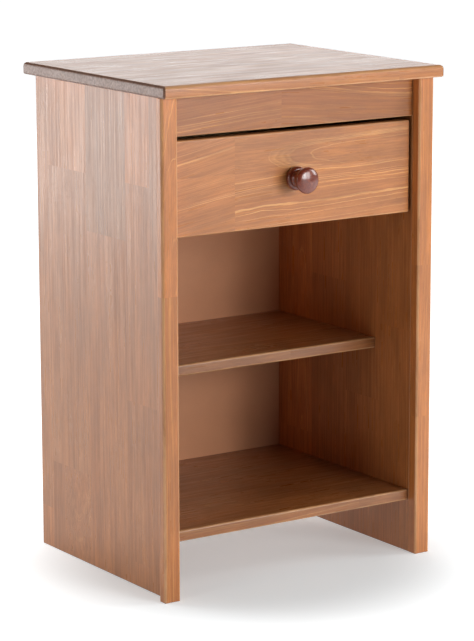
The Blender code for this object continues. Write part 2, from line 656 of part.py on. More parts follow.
def main():
    sides = build_sides()
    slab = build_slab()
    build_rails(sides)
    build_shelf("middle_shelf", MIDDLE_SHELF_TOP, BOX_FRONT + MIDDLE_SHELF_SET, sides)
    bottom_shelf = build_shelf("bottom_shelf", BOTTOM_SHELF_TOP, BOX_FRONT + BOTTOM_SHELF_SET, sides)
    build_back_panel(bottom_shelf)
    dowel_slab(slab, sides)
    front, walls, back, bottom = build_drawer_box()
    drawer = [front, *walls.values(), back, bottom]
    drawer += dowel_drawer(front, walls)
    drawer += build_knob(front)
    for side, sign in SIDES:
        build_channel(side, sign, sides[side])
        drawer += build_track(side, sign, walls[side])
    hang_on_slide(drawer)


main()
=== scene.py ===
"""The looks of a bedside nightstand in stained, edge-glued pine, round its fixed frame.

Every board is sawn here from finger-jointed blocks, each with the place of its log's pith, so that
one growth-ring pattern in space gives every face and end of a block its own figure. The turned
pieces and the screws are made by Geometry Nodes. Metres, +Z up, front towards -Y.
"""

from __future__ import annotations

import logging
import math
from dataclasses import dataclass, field
from enum import Enum
from typing import Callable

import bmesh
import bpy
import numpy as np
from mathutils import Matrix, Vector


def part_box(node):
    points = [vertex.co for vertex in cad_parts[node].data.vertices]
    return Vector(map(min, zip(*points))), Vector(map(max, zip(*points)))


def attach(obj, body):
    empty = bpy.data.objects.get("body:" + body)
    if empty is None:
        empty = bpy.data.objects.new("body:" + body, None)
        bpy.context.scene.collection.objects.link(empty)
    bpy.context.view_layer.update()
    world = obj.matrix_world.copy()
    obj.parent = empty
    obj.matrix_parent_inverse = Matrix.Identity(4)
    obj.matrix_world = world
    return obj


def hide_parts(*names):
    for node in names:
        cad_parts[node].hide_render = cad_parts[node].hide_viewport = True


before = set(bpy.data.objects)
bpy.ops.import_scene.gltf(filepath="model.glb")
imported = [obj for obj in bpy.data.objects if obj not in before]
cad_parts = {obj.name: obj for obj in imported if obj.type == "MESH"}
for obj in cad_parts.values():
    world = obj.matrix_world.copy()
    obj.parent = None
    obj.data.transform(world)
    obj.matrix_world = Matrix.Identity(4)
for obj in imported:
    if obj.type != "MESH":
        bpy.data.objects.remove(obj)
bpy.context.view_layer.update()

logging.basicConfig(level=logging.INFO, format="%(name)s: %(message)s")
log = logging.getLogger("nightstand")

Colour = tuple[float, float, float]
Spot = tuple[float, float, float]
EdgeRule = Callable[[int, int, int], float]

SIDES = (("left", -1), ("right", 1))
PLAY = 0.0003  # round everything that is let into a board
MM_PER_METRE = 1000.0
BEVEL_STEPS = 5


class Axis(Enum):
    """A world axis, by its index in a vector."""

    X = 0
    Y = 1
    Z = 2


# ---------------------------------------------------------------- node trees


class Graph:
    """A node tree being built, with short ways to add and join nodes."""

    def __init__(self, tree: bpy.types.NodeTree) -> None:
        """Starts on the tree that the nodes go into."""
        self.tree = tree

    def node(self, kind: str, **settings: object) -> bpy.types.Node:
        """Adds a node.

        Args:
            kind: The node's type name.
            settings: Properties to set on it.

        Returns:
            The new node.
        """
        made = self.tree.nodes.new(kind)
        for name, value in settings.items():
            setattr(made, name, value)
        return made

    def put(self, socket: bpy.types.NodeSocket, value: object) -> None:
        """Feeds an input socket.

        Args:
            socket: The input.
            value: A socket to link from, a plain value, or None to leave the input as it is.
        """
        if isinstance(value, bpy.types.NodeSocket):
            self.tree.links.new(value, socket)
        elif value is not None:
            socket.default_value = value

    def math(self, operation: str, a: object, b: object = None, c: object = None) -> bpy.types.NodeSocket:
        """Arithmetic on numbers.

        Args:
            operation: Its name.
            a: The first number, or a socket.
            b: The second, where there is one.
            c: The third, where there is one.

        Returns:
            The output socket.
        """
        made = self.node("ShaderNodeMath", operation=operation)
        for socket, value in zip(made.inputs, (a, b, c)):
            self.put(socket, value)
        return made.outputs[0]

    def vector(self, operation: str, a: object, b: object = None) -> bpy.types.NodeSocket:
        """Arithmetic on vectors.

        Args:
            operation: Its name.
            a: The first vector, or a socket.
            b: The second, where there is one.

        Returns:
            The output socket, which is a number for a length and a vector otherwise.
        """
        made = self.node("ShaderNodeVectorMath", operation=operation)
        self.put(made.inputs[0], a)
        self.put(made.inputs[1], b)
        return made.outputs["Value" if operation in ("LENGTH", "DOT_PRODUCT", "DISTANCE") else "Vector"]

    def ease(
        self, value: object, low: float, high: float, to_low: float = 0.0, to_high: float = 1.0
    ) -> bpy.types.NodeSocket:
        """A smooth step.

        Args:
            value: What it follows.
            low: Where the step starts.
            high: Where it ends.
            to_low: The result up to its start.
            to_high: The result from its end.

        Returns:
            The output socket.
        """
        made = self.node("ShaderNodeMapRange", interpolation_type="SMOOTHSTEP")
        for socket, given in zip(made.inputs, (value, low, high, to_low, to_high)):
            self.put(socket, given)
        return made.outputs["Result"]

    def noise(
        self, place: object, scale: float, detail: float = 2.0, roughness: float = 0.5
    ) -> bpy.types.NodeSocket:
        """Smooth random values around 0.5.

        Args:
            place: Where to read them.
            scale: Cells in each unit of place.
            detail: How many finer layers there are.
            roughness: The share of each finer layer.

        Returns:
            The output socket.
        """
        made = self.node("ShaderNodeTexNoise")
        self.put(made.inputs["Vector"], place)
        self.put(made.inputs["Scale"], scale)
        self.put(made.inputs["Detail"], detail)
        self.put(made.inputs["Roughness"], roughness)
        return made.outputs["Fac"]

    def mix(self, share: object, a: object, b: object) -> bpy.types.NodeSocket:
        """A mix of two colours.

        Args:
            share: Of the second colour.
            a: The first colour, or a socket.
            b: The second.

        Returns:
            The output socket.
        """
        made = self.node("ShaderNodeMix", data_type="RGBA")
        self.put(made.inputs["Factor"], share)
        self.put(made.inputs["A"], rgba(a))
        self.put(made.inputs["B"], rgba(b))
        return made.outputs["Result"]

    def attribute(self, name: str, output: str) -> bpy.types.NodeSocket:
        """One output of a node that reads the piece's own attribute of this name."""
        return self.node("ShaderNodeAttribute", attribute_name=name).outputs[output]

    def group(self, tree: bpy.types.NodeTree, **inputs: object) -> bpy.types.Node:
        """Places a node group.

        Args:
            tree: The group.
            inputs: Its inputs by name, with underscores for spaces.

        Returns:
            The group's node.
        """
        made = self.node("ShaderNodeGroup", node_tree=tree)
        for name, value in inputs.items():
            self.put(made.inputs[name.replace("_", " ").title()], value)
        return made

    def parts(self, value: object) -> tuple[bpy.types.NodeSocket, ...]:
        """Takes a vector apart.

        Args:
            value: The vector's socket.

        Returns:
            The sockets of its three parts.
        """
        made = self.node("ShaderNodeSeparateXYZ")
        self.put(made.inputs["Vector"], value)
        return tuple(made.outputs)

    def combine(self, *values: object) -> bpy.types.NodeSocket:
        """Puts a vector together.

        Args:
            values: Its three parts: numbers, or sockets.

        Returns:
            The vector's socket.
        """
        made = self.node("ShaderNodeCombineXYZ")
        for socket, value in zip(made.inputs, values):
            self.put(socket, value)
        return made.outputs["Vector"]

    def shade(
        self, colour: object, value: object, reach: tuple[float, float], share: float
    ) -> bpy.types.NodeSocket:
        """Makes a colour darker or lighter.

        Args:
            colour: The colour's socket.
            value: What the shading follows.
            reach: The values at which it is darkest and lightest.
            share: How much darker and lighter it gets.

        Returns:
            The shaded colour's socket.
        """
        level = self.ease(value, *reach, 1.0 - share, 1.0 + share)
        return self.vector("MULTIPLY", colour, self.combine(level, level, level))


def rgba(value: object) -> object:
    """A plain colour with its alpha, or a socket as it is."""
    return (*value, 1.0) if isinstance(value, tuple) and len(value) == 3 else value


def open_group(
    name: str, inputs: dict[str, str], outputs: dict[str, str], kind: str = "ShaderNodeTree"
) -> tuple[Graph, bpy.types.Node, bpy.types.Node]:
    """Starts a node group.

    Args:
        name: The group's name.
        inputs: Each input's name and socket type.
        outputs: Each output's name and socket type.
        kind: The type of tree.

    Returns:
        The graph, the group's input node and its output node.
    """
    tree = bpy.data.node_groups.new(name, kind)
    for socket, sort in inputs.items():
        tree.interface.new_socket(socket, in_out="INPUT", socket_type=sort)
    for socket, sort in outputs.items():
        tree.interface.new_socket(socket, in_out="OUTPUT", socket_type=sort)
    graph = Graph(tree)
    return graph, graph.node("NodeGroupInput"), graph.node("NodeGroupOutput")


NUMBER, VECTOR = "NodeSocketFloat", "NodeSocketVector"
# Noise cells in a metre, along and across the grain.
CELLS = {
    "drift": (3.2, 13.0), "ripple": (26.0, 85.0), "fade": (7.0, 45.0), "fibre": (42.0, 1500.0),
    "fleck": (95.0, 1300.0), "cloud": (11.0, 45.0), "streak": (6.0, 330.0),
}
DRIFT_SHARE, RIPPLE_SHARE = 4.0, 0.45  # of the waver
RING_UNEVENNESS = 1.6  # in rings


@dataclass
class ShaderGroups:
    """The node groups that several finishes share, each built once."""

    timber: bpy.types.NodeTree = field(init=False)
    film: bpy.types.NodeTree = field(init=False)

    def __post_init__(self) -> None:
        """Builds both groups."""
        self.timber = self.build_timber()
        self.film = self.build_film()

    @staticmethod
    def build_timber() -> bpy.types.NodeTree:
        """Growth rings round a log's pith, with fibres, resin flecks and clouds.

        Returns:
            A group whose masks run from 0 to 1.
        """
        graph, given, made = open_group(
            "timber_figure",
            {"Log Place": VECTOR} | {n: NUMBER for n in ("Seed", "Ring Width", "Late Share", "Waver")},
            {n: NUMBER for n in ("Latewood", "Fibre", "Fleck", "Cloud", "Streak", "Height")},
        )
        place, seed, ring_width, late_share, waver = list(given.outputs)[:5]
        seeds = (seed, graph.math("MULTIPLY", seed, 1.7), graph.math("MULTIPLY", seed, 2.3))
        shift = graph.combine(*seeds)

        def stretched(cells: str) -> bpy.types.NodeSocket:
            """The place, scaled along and across the grain and moved by the seed."""
            along, across = CELLS[cells]
            return graph.vector("ADD", graph.vector("MULTIPLY", place, (along, across, across)), shift)

        _, side, deep = graph.parts(place)
        radius = graph.vector("LENGTH", graph.combine(None, side, deep))
        drift = graph.math("SUBTRACT", graph.noise(stretched("drift"), 1.0, 1.0), 0.5)
        ripple = graph.math("SUBTRACT", graph.noise(stretched("ripple"), 1.0, 2.0), 0.5)
        bent = graph.math("MULTIPLY_ADD", drift, graph.math("MULTIPLY", waver, DRIFT_SHARE), radius)
        bent = graph.math("MULTIPLY_ADD", ripple, graph.math("MULTIPLY", waver, RIPPLE_SHARE), bent)
        rings = graph.math("DIVIDE", bent, ring_width)
        uneven = graph.node("ShaderNodeTexNoise", noise_dimensions="1D")
        graph.put(uneven.inputs["W"], graph.math("ADD", graph.math("MULTIPLY", rings, 0.6), seed))
        rings = graph.math("MULTIPLY_ADD", uneven.outputs["Fac"], RING_UNEVENNESS, rings)
        number = graph.math("FLOOR", rings)
        across_ring = graph.math("SUBTRACT", rings, number)
        rise = graph.math("SUBTRACT", 1.0, late_share)
        ramp = graph.math("DIVIDE", graph.math("SUBTRACT", across_ring, rise), late_share)
        body = graph.ease(ramp, 0.0, 0.6)
        edge = graph.ease(across_ring, 0.95, 1.0, 1.0, 0.0)
        each = graph.node("ShaderNodeTexWhiteNoise", noise_dimensions="1D")
        graph.put(each.inputs["W"], graph.math("ADD", number, seed))
        strength = graph.math("MULTIPLY_ADD", each.outputs["Value"], 0.8, 0.25)
        fade = graph.ease(graph.noise(stretched("fade"), 1.0, 2.0), 0.3, 0.62, 0.35, 1.0)
        faded = graph.math("MULTIPLY", strength, fade)
        late = graph.math("MULTIPLY", graph.math("MULTIPLY", body, edge), faded)
        fibre = graph.noise(stretched("fibre"), 1.0, 3.0, 0.65)
        fleck = graph.ease(graph.noise(stretched("fleck"), 1.0, 1.0), 0.70, 0.80)
        cloud = graph.noise(stretched("cloud"), 1.0, 5.0, 0.72)
        streak = graph.noise(stretched("streak"), 1.0, 3.0, 0.55)
        height = graph.math("MULTIPLY_ADD", fibre, 0.35, graph.math("MULTIPLY", late, 0.65))
        height = graph.math("SUBTRACT", height, graph.math("MULTIPLY", fleck, 0.8))
        for socket, value in zip(made.inputs, (late, fibre, fleck, cloud, streak, height)):
            graph.put(socket, value)
        return graph.tree

    @staticmethod
    def build_film() -> bpy.types.NodeTree:
        """The unevenness of a sprayed or rubbed surface.

        Returns:
            A group that gives a roughness and a height.
        """
        graph, given, made = open_group(
            "surface_film",
            {"Place": VECTOR, "Roughness": NUMBER, "Spread": NUMBER, "Grain Size": NUMBER},
            {"Roughness": NUMBER, "Height": NUMBER},
        )
        place = given.outputs["Place"]
        patch = graph.math("SUBTRACT", graph.noise(place, 22.0, 3.0), 0.5)
        rough = graph.math("MULTIPLY_ADD", patch, given.outputs["Spread"], given.outputs["Roughness"])
        finer = graph.vector("SCALE", place)
        graph.put(finer.node.inputs["Scale"], graph.math("DIVIDE", 1.0, given.outputs["Grain Size"]))
        graph.put(made.inputs["Roughness"], rough)
        graph.put(made.inputs["Height"], graph.noise(finer, 1.0, 2.0, 0.6))
        return graph.tree


GROUPS = ShaderGroups()


# ---------------------------------------------------------------- finishes


def new_material(name: str) -> tuple[bpy.types.Material, Graph, bpy.types.Node]:
    """Starts a material.

    Args:
        name: The material's name.

    Returns:
        The material, its graph and its Principled shader.
    """
    made = bpy.data.materials.new(name)
    made.use_nodes = True
    return made, Graph(made.node_tree), made.node_tree.nodes["Principled BSDF"]


def add_bump(graph: Graph, shader: bpy.types.Node, height: object, depth: float) -> None:
    """Gives a shader a bump.

    Args:
        graph: The material's graph.
        shader: The shader.
        height: The height's socket.
        depth: How deep a height of 1 is, in metres.
    """
    bump = graph.node("ShaderNodeBump")
    graph.put(bump.inputs["Height"], height)
    graph.put(bump.inputs["Distance"], depth)
    graph.put(shader.inputs["Normal"], bump.outputs["Normal"])


@dataclass(frozen=True)
class Timber:
    """A wood finish: the ground between the rings, the latewood lines, and what lies on them."""

    name: str
    ground: Colour
    late: Colour
    end: Colour
    fleck: Colour
    roughness: float
    coat: float
    line_share: float = 1.0
    cloud_share: float = 0.12
    fibre_share: float = 0.07
    streak_share: float = 0.12
    fleck_share: float = 0.45
    late_share: float = 0.15
    waver: float = 0.0045
    # Lighter colour of rounded arrises: partly stain thinned by use, partly a painted highlight.
    rub_and_highlight: Colour = (0.78, 0.47, 0.24)
    rub_and_highlight_share: float = 0.45
    relief: float = 0.00012
    streak_hue: Colour = (0.85, 1.1, 1.2)  # how strongly a streak darkens red, green and blue
    streak_gloss: float = 0.7
    end_share: float = 0.8
    end_line_share: float = 0.2
    end_streak_share: float = 0.3
    end_dullness: float = 0.12
    film_spread: float = 0.12
    coat_roughness: float = 0.22

    def material(self) -> bpy.types.Material:
        """Builds the material.

        Returns:
            A material that reads a board's log_place, sawn and tint attributes.
        """
        made, graph, shader = new_material(self.name)
        place = graph.attribute("log_place", "Vector")
        ring, contrast, seed = graph.parts(graph.attribute("sawn", "Vector"))
        waver = graph.math("MULTIPLY", graph.attribute("waver", "Fac"), self.waver)
        figure = graph.group(
            GROUPS.timber, log_place=place, seed=seed, ring_width=ring, late_share=self.late_share,
            waver=waver,
        ).outputs
        lined = graph.math("MULTIPLY", contrast, self.line_share)
        share = graph.math("MULTIPLY", figure["Latewood"], lined)
        colour = graph.mix(share, self.ground, self.late)
        colour = graph.shade(colour, figure["Cloud"], (0.32, 0.68), self.cloud_share)
        colour = graph.shade(colour, figure["Fibre"], (0.3, 0.7), self.fibre_share)
        lightest = 1.0 + self.streak_share
        dark = graph.ease(figure["Streak"], 0.35, 0.65, 1.0 - self.streak_share, lightest)
        hues = [graph.math("POWER", dark, power) for power in self.streak_hue]
        colour = graph.vector("MULTIPLY", colour, graph.combine(*hues))
        colour = graph.vector("MULTIPLY", colour, graph.attribute("tint", "Color"))
        flecked = graph.math("MULTIPLY", figure["Fleck"], self.fleck_share)
        colour = graph.mix(flecked, colour, self.fleck)
        end_mask = graph.attribute("end_grain", "Fac")
        ended = graph.mix(graph.math("MULTIPLY", share, self.end_line_share), self.end, colour)
        ended = graph.shade(ended, figure["Streak"], (0.3, 0.7), self.end_streak_share)
        colour = graph.mix(graph.math("MULTIPLY", end_mask, self.end_share), colour, ended)
        # Rounded arrises are lightened: partly stain thinned by use, partly a painted highlight along the
        # edges.
        rub_and_highlight = graph.math("MULTIPLY", graph.attribute("arris", "Fac"), self.rub_and_highlight_share)
        rub_and_highlight = graph.math("MULTIPLY", rub_and_highlight, graph.ease(figure["Cloud"], 0.3, 0.6, 0.4, 1.0))
        colour = graph.mix(rub_and_highlight, colour, self.rub_and_highlight)
        graph.put(shader.inputs["Base Color"], colour)
        film = graph.group(
            GROUPS.film, place=place, roughness=self.roughness, spread=self.film_spread, grain_size=0.0016
        ).outputs
        dulled = graph.math("ADD", film["Roughness"], self.streak_gloss)
        dulled = graph.math("MULTIPLY_ADD", dark, -self.streak_gloss, dulled)
        rough = graph.math("MULTIPLY_ADD", end_mask, self.end_dullness, dulled)
        graph.put(shader.inputs["Roughness"], rough)
        height = graph.math("MULTIPLY_ADD", film["Height"], 0.25, figure["Height"])
        add_bump(graph, shader, height, self.relief)
        graph.put(shader.inputs["Coat Weight"], self.coat)
        graph.put(shader.inputs["Coat Roughness"], self.coat_roughness)
        return made


@dataclass(frozen=True)
class Hardboard:
    """Pressed fibreboard: lacquered smooth in front, with the mould's mesh on its rear face."""

    name: str
    colour: Colour
    speck: Colour
    roughness: float
    mesh_pitch: float = 0.0
    relief: float = 0.00005

    def material(self) -> bpy.types.Material:
        """Builds the material.

        Returns:
            A material that reads object coordinates.
        """
        made, graph, shader = new_material(self.name)
        place = graph.node("ShaderNodeTexCoord").outputs["Object"]
        fibres = graph.noise(graph.vector("MULTIPLY", place, (1.0, 1.0, 1.6)), 900.0, 4.0, 0.7)
        cloud = graph.noise(place, 9.0, 3.0)
        colour = graph.mix(graph.ease(fibres, 0.45, 0.75, 0.0, 0.5), self.colour, self.speck)
        colour = graph.shade(colour, cloud, (0.2, 0.8), 0.1)
        graph.put(shader.inputs["Base Color"], colour)
        film = graph.group(
            GROUPS.film, place=place, roughness=self.roughness, spread=0.1, grain_size=0.002
        )
        graph.put(shader.inputs["Roughness"], film.outputs["Roughness"])
        height = fibres
        if self.mesh_pitch:
            across, _, up = graph.parts(place)
            turn = 2.0 * math.pi / self.mesh_pitch
            waves = [graph.math("SINE", graph.math("MULTIPLY", way, turn)) for way in (across, up)]
            weave = graph.math("MAXIMUM", *waves)
            height = graph.math("MULTIPLY_ADD", fibres, 0.6, weave)
        add_bump(graph, shader, height, self.relief)
        return made


@dataclass(frozen=True)
class TurnedWood:
    """A turned, glossy, dark-stained hardwood, with its grain along the turning axis."""

    name: str
    ground: Colour
    streak: Colour
    roughness: float
    coat: float
    relief: float = 0.00002
    coat_roughness: float = 0.12

    def material(self) -> bpy.types.Material:
        """Builds the material.

        Returns:
            A material that reads object coordinates, with the grain along Y.
        """
        made, graph, shader = new_material(self.name)
        place = graph.node("ShaderNodeTexCoord").outputs["Object"]
        long = graph.vector("MULTIPLY", place, (1.0, 0.12, 1.0))
        streaks = graph.noise(long, 420.0, 4.0, 0.6)
        bands = graph.noise(graph.vector("MULTIPLY", place, (1.0, 0.2, 0.35)), 170.0, 2.0)
        banded = graph.ease(bands, 0.35, 0.65, 0.35, 1.0)
        share = graph.math("MULTIPLY", graph.ease(streaks, 0.42, 0.68), banded)
        graph.put(shader.inputs["Base Color"], graph.mix(share, self.ground, self.streak))
        film = graph.group(
            GROUPS.film, place=place, roughness=self.roughness, spread=0.08, grain_size=0.0012
        )
        graph.put(shader.inputs["Roughness"], film.outputs["Roughness"])
        add_bump(graph, shader, film.outputs["Height"], self.relief)
        graph.put(shader.inputs["Coat Weight"], self.coat)
        graph.put(shader.inputs["Coat Roughness"], self.coat_roughness)
        return made


@dataclass(frozen=True)
class Coating:
    """A metal or plastic surface with a fine texture and dull, rubbed patches."""

    name: str
    colour: Colour
    rub_and_highlight: Colour
    roughness: float
    metallic: float
    grain_size: float
    relief: float

    def material(self) -> bpy.types.Material:
        """Builds the material.

        Returns:
            A material that reads object coordinates.
        """
        made, graph, shader = new_material(self.name)
        place = graph.node("ShaderNodeTexCoord").outputs["Object"]
        wear_and_highlight = graph.ease(graph.noise(place, 70.0, 4.0, 0.7), 0.5, 0.72)
        graph.put(shader.inputs["Base Color"], graph.mix(wear_and_highlight, self.colour, self.rub_and_highlight))
        film = graph.group(
            GROUPS.film, place=place, roughness=self.roughness, spread=0.2, grain_size=self.grain_size
        )
        graph.put(shader.inputs["Roughness"], film.outputs["Roughness"])
        graph.put(shader.inputs["Metallic"], self.metallic)
        add_bump(graph, shader, film.outputs["Height"], self.relief)
        return made


@dataclass
class Finishes:
    """Every finish on the nightstand, made once."""

    pine: bpy.types.Material = field(init=False)
    raw_pine: bpy.types.Material = field(init=False)
    hardboard: bpy.types.Material = field(init=False)
    hardboard_rear: bpy.types.Material = field(init=False)
    cherry: bpy.types.Material = field(init=False)
    beech: bpy.types.Material = field(init=False)
    coated: bpy.types.Material = field(init=False)
    plated: bpy.types.Material = field(init=False)
    nylon: bpy.types.Material = field(init=False)

    def __post_init__(self) -> None:
        """Builds the materials."""
        self.pine = Timber(
            "stained_pine", ground=(0.44, 0.158, 0.045), late=(0.72, 0.36, 0.115),
            end=(0.15, 0.07, 0.045), fleck=(0.12, 0.03, 0.008), roughness=0.36, coat=0.3,
        ).material()
        self.raw_pine = Timber(
            "raw_pine", ground=(0.72, 0.53, 0.32), late=(0.52, 0.29, 0.12), end=(0.55, 0.38, 0.22),
            fleck=(0.34, 0.19, 0.08), roughness=0.55, coat=0.0, line_share=0.75, late_share=0.30,
        ).material()
        self.hardboard = Hardboard(
            "hardboard", (0.61, 0.285, 0.145), (0.49, 0.205, 0.098), 0.42
        ).material()
        self.hardboard_rear = Hardboard(
            "hardboard_rear", (0.24, 0.135, 0.07), (0.15, 0.08, 0.04), 0.75, mesh_pitch=0.0016,
            relief=0.00025,
        ).material()
        self.cherry = TurnedWood("cherry", (0.15, 0.022, 0.008), (0.28, 0.058, 0.021), 0.28, 0.7).material()
        self.beech = TurnedWood("beech", (0.60, 0.42, 0.25), (0.50, 0.31, 0.16), 0.7, 0.0).material()
        self.coated = Coating(
            "coated_steel", (0.72, 0.71, 0.66), (0.60, 0.59, 0.55), 0.38, 0.0, 0.0011, 0.00003
        ).material()
        self.plated = Coating(
            "plated_steel", (0.60, 0.60, 0.58), (0.48, 0.48, 0.47), 0.34, 1.0, 0.0008, 0.00001
        ).material()
        self.nylon = Coating(
            "nylon", (0.78, 0.78, 0.74), (0.68, 0.68, 0.64), 0.42, 0.0, 0.0009, 0.00001
        ).material()


# ---------------------------------------------------------------- boards


@dataclass(frozen=True)
class Block:
    """One finger-jointed length of a stave. Places are in millimetres from the board's low corner."""

    along: tuple[float, float]
    across: tuple[float, float]
    tint: Colour = (1.0, 1.0, 1.0)
    ring: float = 6.5
    contrast: float = 0.7
    pith: tuple[float, float] = (90.0, 35.0)  # sideways from the block's middle, and under its face
    lean: tuple[float, float] = (0.0, 0.0)  # of the pith, sideways and in depth, for each unit along
    seed: float = 0.0
    waver: float = 1.0

    def holds(self, along: float, across: float) -> bool:
        """True if a place in millimetres is on this block."""
        return self.along[0] <= along < self.along[1] and self.across[0] <= across < self.across[1]

    def log_place(self, along: float, across: float, depth: float) -> Vector:
        """A place in the log's own frame.

        Args:
            along: How far it is along the grain, in millimetres from the board's low corner.
            across: How far it is across the grain.
            depth: Under the face, in millimetres.

        Returns:
            The place in metres: along the pith, and two ways out from it.
        """
        run = along - sum(self.along) / 2
        side = across - sum(self.across) / 2 - self.pith[0] - self.lean[0] * run
        down = depth + self.pith[1] + self.lean[1] * run
        return Vector((run, side, down)) / MM_PER_METRE


def tone(level: float, warmth: float = 0.0) -> Colour:
    """A block's tint: its brightness, and a shift towards orange or, below 0, towards mauve."""
    return level * (1.0 + 0.04 * warmth), level * (1.0 - 0.01 * warmth), level * (1.0 - 0.12 * warmth)


# In millimetres, for boards whose blocks aren't set one by one.
STAVE_WIDTH = 62.0
STAVE_UNEVENNESS = 8.0
FIRST_LENGTH = 420.0
BLOCK_LENGTHS = (220.0, 520.0)
LEAST_BLOCK = 60.0


def lay_staves(
    length: float, width: float, seed: int, contrast: float = 0.7, spread: float = 0.08,
    level: float = 1.0,
) -> list[Block]:
    """Lays a board out in staves of finger-jointed blocks.

    Args:
        length: Of the board along its grain, in millimetres.
        width: Of the board across its grain, in millimetres.
        seed: For the layout.
        contrast: Of the growth rings.
        spread: Of the blocks' brightness.
        level: The blocks' mean brightness.

    Returns:
        The blocks, which cover the whole board.
    """
    random = np.random.default_rng(seed)
    count = max(1, round(width / STAVE_WIDTH))
    edges = np.linspace(0.0, width, count + 1)
    edges[1:-1] += random.uniform(-STAVE_UNEVENNESS, STAVE_UNEVENNESS, count - 1)
    edges[0], edges[-1] = -1.0, width + 1.0
    blocks = []
    for low, high in zip(edges[:-1], edges[1:]):
        start = -1.0
        reach = random.uniform(0.25, 0.9) * FIRST_LENGTH
        while start < length + 1.0:
            end = reach if length - reach > LEAST_BLOCK else length + 2.0
            side = random.choice((-1.0, 1.0))
            blocks.append(
                Block(
                    along=(start, end),
                    across=(float(low), float(high)),
                    tint=tone(level * (1.0 + random.uniform(-spread, spread)), random.uniform(-0.8, 0.8)),
                    ring=random.uniform(4.5, 8.5),
                    contrast=contrast * random.uniform(0.6, 1.25),
                    pith=(side * random.uniform(15.0, 140.0), random.uniform(12.0, 60.0)),
                    lean=(random.uniform(-0.05, 0.05), random.uniform(-0.04, 0.04)),
                    seed=float(random.uniform(0.0, 90.0)),
                )
            )
            start = end
            reach = end + random.uniform(*BLOCK_LENGTHS)
    return blocks


def box_corners(name: str) -> tuple[Vector, Vector]:
    """The low and high corners of a node of the frame."""
    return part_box(name)


def plain_object(name: str, mesh: bpy.types.Mesh) -> bpy.types.Object:
    """Links a mesh into the scene.

    Args:
        name: The object's name.
        mesh: Its mesh.

    Returns:
        The object, at the origin.
    """
    made = bpy.data.objects.new(name, mesh)
    bpy.context.scene.collection.objects.link(made)
    return made


def cuboid(name: str, low: Vector, high: Vector) -> bpy.types.Object:
    """Makes a box.

    Args:
        name: The object's name.
        low: Its low corner.
        high: Its high corner.

    Returns:
        The box, with its place in its mesh.
    """
    mesh = bpy.data.meshes.new(name)
    body = bmesh.new()
    bmesh.ops.create_cube(body, size=1.0)
    bmesh.ops.scale(body, vec=high - low, verts=body.verts)
    bmesh.ops.translate(body, vec=(low + high) / 2, verts=body.verts)
    body.to_mesh(mesh)
    body.free()
    return plain_object(name, mesh)


def settle(obj: bpy.types.Object) -> bpy.types.Mesh:
    """Replaces an object's mesh with its evaluated one and clears its modifiers.

    Args:
        obj: The object.

    Returns:
        The new mesh.
    """
    bpy.context.view_layer.update()
    seen = obj.evaluated_get(bpy.context.evaluated_depsgraph_get())
    mesh = bpy.data.meshes.new_from_object(seen)
    obj.modifiers.clear()
    obj.data = mesh
    return mesh


NEAR_SIDE = 0.1  # the share of a box's width that counts as on its side
END_SLOPE = 0.3  # a face whose normal has more of the grain's direction shows end grain
ROUND_SLOPE = 0.96  # a face whose normal has less of every axis is part of a rounding
SMOOTH_ANGLE = 40.0


def round_off(obj: bpy.types.Object, radius: float, ease: float, rule: EdgeRule) -> None:
    """Rounds a box's edges.

    Args:
        obj: The box, with its place in its mesh.
        radius: Of an edge whose share is 1.
        ease: The least radius, on every other edge.
        rule: Gives an edge's share of the radius from the side of the box that it is on.
    """
    mesh = obj.data
    low = Vector(min(v.co[i] for v in mesh.vertices) for i in range(3))
    high = Vector(max(v.co[i] for v in mesh.vertices) for i in range(3))
    weights = mesh.attributes.new("bevel_weight_edge", "FLOAT", "EDGE")
    for edge in mesh.edges:
        middle = (mesh.vertices[edge.vertices[0]].co + mesh.vertices[edge.vertices[1]].co) / 2
        side = []
        for i in range(3):
            share = (middle[i] - low[i]) / (high[i] - low[i])
            side.append(-1 if share < NEAR_SIDE else 1 if share > 1.0 - NEAR_SIDE else 0)
        weights.data[edge.index].value = max(rule(*side), ease / radius)
    bevel = obj.modifiers.new("rounded", "BEVEL")
    bevel.width = radius
    bevel.segments = BEVEL_STEPS
    bevel.limit_method = "WEIGHT"


